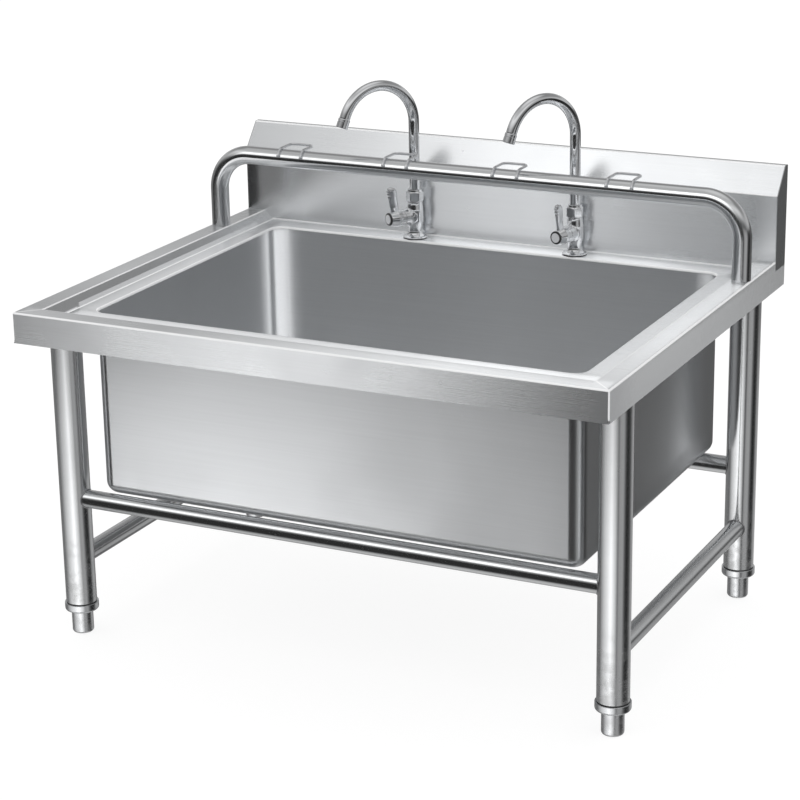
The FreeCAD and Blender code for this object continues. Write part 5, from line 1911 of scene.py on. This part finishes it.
    @staticmethod
    def wall(x_from: float, x_to: float, z_from: float, z_to: float, y: float = -3.4) -> Array:
        """A flat upright card square to Y, as a grid."""
        x, z = np.meshgrid([x_from, x_to], [z_from, z_to], indexing="ij")
        return np.stack([x, np.full_like(x, y), z], -1)

    @staticmethod
    def side_wall(x: float, y_from: float, y_to: float, z_from: float, z_to: float) -> Array:
        """A flat upright card square to X, as a grid with Y along its length."""
        y, z = np.meshgrid([y_from, y_to], [z_from, z_to], indexing="ij")
        return np.stack([np.full_like(y, x), y, z], -1)

    @staticmethod
    def level(x_from: float, x_to: float, y_from: float, y_to: float, z: float) -> Array:
        """A flat level card, as a grid with X along its length."""
        x, y = np.meshgrid([x_from, x_to], [y_from, y_to], indexing="ij")
        return np.stack([x, y, np.full_like(x, z)], -1)

    @staticmethod
    def across(x_from: float, x_to: float, y_from: float, y_to: float, z: float) -> Array:
        """A flat level card, as a grid with Y along its length."""
        y, x = np.meshgrid([y_from, y_to], [x_from, x_to], indexing="ij")
        return np.stack([x, y, np.full_like(x, z)], -1)

    def arc(self, first: float, last: float, low: float, high: float, steps: int) -> Array:
        """An upright card bent round the sink: (R cos a, R sin a, z).

        Args:
            first: the angle a of its beginning, in degrees.
            last: the angle of its end.
            low: its lower edge.
            high: its upper edge.
            steps: points along it.

        Returns:
            A grid with the angle along its length.
        """
        angle = np.radians(np.linspace(first, last, steps))[:, None]
        z = np.array([[low, high]])
        return np.stack([self.arc_reach * np.cos(angle) + 0 * z, self.arc_reach * np.sin(angle) + 0 * z,
                         z + 0 * angle], -1)

    @staticmethod
    def bowl_film(away: float, reach: float, low: float, high: float) -> Array:
        """A card that follows the bowl's left, back and right walls inside.

        It is spaced evenly by its length, and its faces point into the bowl.

        Args:
            away: how far it stands off the walls.
            reach: the Y at which it begins and ends.
            low: its lower edge.
            high: its upper edge.

        Returns:
            A grid from the left wall round to the right one.
        """
        bowl = Bowl()
        half, back, radius = (v * MM - away for v in (bowl.half, bowl.back, bowl.corner))
        line = rounded([(-half, reach, 0), (-half, back, radius), (half, back, radius), (half, reach, 0)],
                       10, closed=False)
        steps = np.linalg.norm(np.diff(line, axis=0), axis=1)
        run = np.concatenate([[0.0], np.cumsum(steps)])
        even = np.linspace(0, run[-1], 240)
        flat = np.stack([np.interp(even, run, line[:, k]) for k in (0, 1)], -1)
        z = np.array([high, low])
        grid = np.empty((len(flat), 2, 3))
        grid[..., :2] = flat[:, None]
        grid[..., 2] = z[None, :]
        return grid

    def room_cards(self) -> list[Card]:
        """The large reflectors round the sink.

        Returns:
            The cards, with the light along their length.
        """
        corners = Frame().corners()
        rails = tuple("rail_%s_tube" % side for side in ("front", "back", "left", "right"))
        cast = ("body_cast", "lever_handle", "spout_nut_hex", "spout_neck", "aerator_tip")
        chrome = tuple("tap_%s_%s" % (side, part) for side in ("left", "right") for part in cast)
        tubes = (*("leg_tube_" + c for c in corners), *("foot_screw_" + c for c in corners),
                 "mop_bar_tube", *chrome)
        first, last = -172, -46
        tones = ((-160, 0.3), (-138, 0.74), (-111, 1.15), (-87, 1.7), (-64, 0.95), (-52, 0.35))
        round_stops = ((0.0, 0.0), *(((a - first) / (last - first), v) for a, v in tones), (1.0, 0.1))
        return [
            Card("card_tubes", tubes, self.arc(first, last, -3.4, -0.55, 43), round_stops, soft=0.06),
            Card("card_apron", ("worktop",), self.wall(-3.4, 0.1, -1.4, 0.3),
                 ((0.0, 0.05), (0.21, 0.2), (0.29, 1.0), (0.4, 1.45), (0.476, 2.15), (0.55, 1.4),
                  (0.63, 0.95), (0.7, 0.45), (0.78, 0.02), (1.0, 0.0))),
            Card("card_bowl", ("bowl_sheet",), self.wall(-3.1, -0.1, -2.0, -0.72),
                 ((0.0, 0.7), (0.2, 2.4), (0.27, 2.6), (0.45, 2.0), (0.6, 1.4), (0.75, 0.85), (0.86, 0.4),
                  (1.0, 0.05))),
            Card("card_side", ("worktop",), self.side_wall(3.0, 4.6, 9.8, -3.0, -0.6),
                 ((0.0, 0.3), (0.28, 0.5), (0.43, 1.15), (0.52, 0.9), (0.63, 0.35), (0.76, 0.05),
                  (1.0, 0.0))),
            Card("card_bars", ("mop_bar_tube",) + rails, self.wall(-5.0, 3.0, 1.9, 5.0),
                 ((0.0, 0.0), (0.2, 0.7), (0.5, 0.9), (0.8, 0.7), (1.0, 0.0))),
            Card("card_legs_side", tubes + rails, self.arc(36, 96, -3.0, -0.4, 21),
                 ((0.0, 0.1), (0.4, 0.3), (1.0, 0.25))),
            Card("card_slope", ("backsplash",), self.level(-3.2, 0.1, -2.0, -0.2, 4.0),
                 ((0.0, 0.0), (0.2, 0.05), (0.36, 0.5), (0.5, 0.95), (0.62, 1.3), (0.72, 1.25), (0.8, 0.7),
                  (1.0, 0.2))),
        ]

    def near_cards(self) -> list[Card]:
        """The thin cards close to the sheets, whose grain would blur a far one too much.

        Returns:
            The cards, with the light along their length.
        """
        top, splash = ("worktop",), ("backsplash",)
        over_deck, over_strip = 0.565, 0.581
        return [
            Card("film_splash", splash, self.wall(-0.5, 0.5, 0.562, 0.688, 0.31),
                 ((0.0, 0.18), (0.06, 0.12), (0.12, 0.2), (0.34, 0.5), (0.46, 0.6), (0.56, 0.62),
                  (0.8, 0.3), (0.9, 0.22), (0.95, 0.12), (1.0, 0.25)), soft=0.0),
            Card("film_back_deck", top, self.level(-0.43, 0.43, 0.302, 0.348, over_deck),
                 ((0.0, 0.2), (0.25, 0.3), (0.6, 0.55), (0.85, 0.65), (0.93, 0.4), (1.0, 0.3)), soft=0.0),
            Card("film_front_deck", top, self.level(-0.45, 0.45, -0.344, -0.285, over_deck),
                 ((0.0, 0.5), (0.5, 0.62), (0.8, 0.9), (1.0, 0.9)), soft=0.0),
            Card("film_left_deck", top, self.across(-0.46, -0.42, -0.28, 0.3, over_deck),
                 ((0.0, 0.35), (0.6, 0.35), (1.0, 0.12)), soft=0.0),
            Card("film_right_deck", top, self.across(0.41, 0.45, -0.28, 0.3, over_deck),
                 ((0.0, 0.5), (0.6, 0.45), (1.0, 0.3)), soft=0.0),
            Card("film_front_strip", top, self.level(-0.5, 0.49, -0.396, -0.352, over_strip),
                 ((0.0, 0.18), (0.25, 0.08), (0.5, 0.4), (0.75, 0.66), (1.0, 0.62)), soft=0.0),
            Card("film_left_strip", top, self.across(-0.508, -0.474, -0.37, 0.35, over_strip),
                 ((0.0, 0.0), (0.35, 0.18), (1.0, 0.0)), soft=0.0),
            Card("film_right_strip", top, self.across(0.458, 0.492, -0.36, 0.35, over_strip),
                 ((0.0, 0.4), (0.35, 0.64), (0.75, 0.58), (1.0, 0.42)), soft=0.0),
            Card("film_bowl_inside", ("bowl_sheet",), self.bowl_film(0.008, 0.2, 0.26, 0.553),
                 ((0.0, 0.0), (0.055, 0.02), (0.075, 0.28), (0.088, 0.9), (0.096, 0.9), (0.104, 0.45),
                  (0.1145, 0.18), (0.13, 0.1), (0.5, 0.1), (0.87, 0.05), (0.895, 0.5), (0.906, 0.9),
                  (0.92, 0.4), (0.95, 0.1), (1.0, 0.0)), soft=0.0, one_sided=True),
        ]

    def build_card(self, card: Card) -> None:
        """Makes a card that only its receivers' gloss sees.

        Its light fades out over the soft share at its four edges.

        Args:
            card: the card.
        """
        skin = Skin().add(card.grid / MM, close_v=False)
        mesh = bpy.data.meshes.new(card.name)
        points, quads = skin.points[0] * MM, skin.quads[0]
        mesh.from_pydata(points.tolist(), [], quads.tolist())
        nu, nv = card.grid.shape[:2]
        u, v = np.meshgrid(np.linspace(0, 1, nu), np.linspace(0, 1, nv), indexing="ij")
        flat = np.stack([u, v], -1).reshape(-1, 2)
        layer = mesh.uv_layers.new(name="Card")
        layer.data.foreach_set("uv", flat[quads.ravel()].astype(np.float32).ravel())
        piece = bpy.data.objects.new(card.name, mesh)
        bpy.context.scene.collection.objects.link(piece)
        piece.visible_camera = piece.visible_diffuse = piece.visible_shadow = False
        piece.visible_transmission = False
        made = bpy.data.materials.new(card.name)
        made.use_nodes = True
        made.cycles.emission_sampling = "NONE"
        made.node_tree.nodes.clear()
        nodes = Nodes(made.node_tree)
        where = nodes.add("ShaderNodeTexCoord").outputs["UV"]
        parts = nodes.add("ShaderNodeSeparateXYZ", None, Vector=where).outputs
        tone = nodes.ramp(parts[0], card.stops)
        for k in (0, 1) if card.soft else ():
            edge = nodes.math("MINIMUM", parts[k], nodes.math("SUBTRACT", 1.0, parts[k]))
            fade = nodes.ranged(edge, 0.0, card.soft)
            tone = nodes.math("MULTIPLY", tone, fade)
        if card.one_sided:
            away = nodes.add("ShaderNodeNewGeometry").outputs["Backfacing"]
            tone = nodes.math("MULTIPLY", tone, nodes.math("SUBTRACT", 1.0, away))
        glow = nodes.add("ShaderNodeEmission", None, Color=(1.0, 1.0, 1.0, 1.0),
                         Strength=nodes.math("MULTIPLY", tone, card.strength))
        clear = nodes.add("ShaderNodeBsdfTransparent")
        both = nodes.add("ShaderNodeAddShader", None, i0=glow.outputs[0], i1=clear.outputs[0])
        nodes.add("ShaderNodeOutputMaterial", None, Surface=both.outputs[0])
        mesh.materials.append(made)
        group = bpy.data.collections.new(card.name + "_receivers")
        for name in card.receivers:
            group.objects.link(bpy.data.objects.get(name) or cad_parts[name])
        piece.light_linking.receiver_collection = group


def main() -> None:
    """Builds every sub-assembly in order, then the studio."""
    logging.basicConfig(level=logging.INFO, format="%(message)s")
    SheetMetal().build()
    Bowl().build()
    Frame().build()
    MopBar().build()
    Tap("left", -151.0, 35.0, 33.0).build()
    Tap("right", 151.0, 15.0, 28.0).build()
    Waste().build()
    Studio().build()


if __name__ == "__main__":
    main()
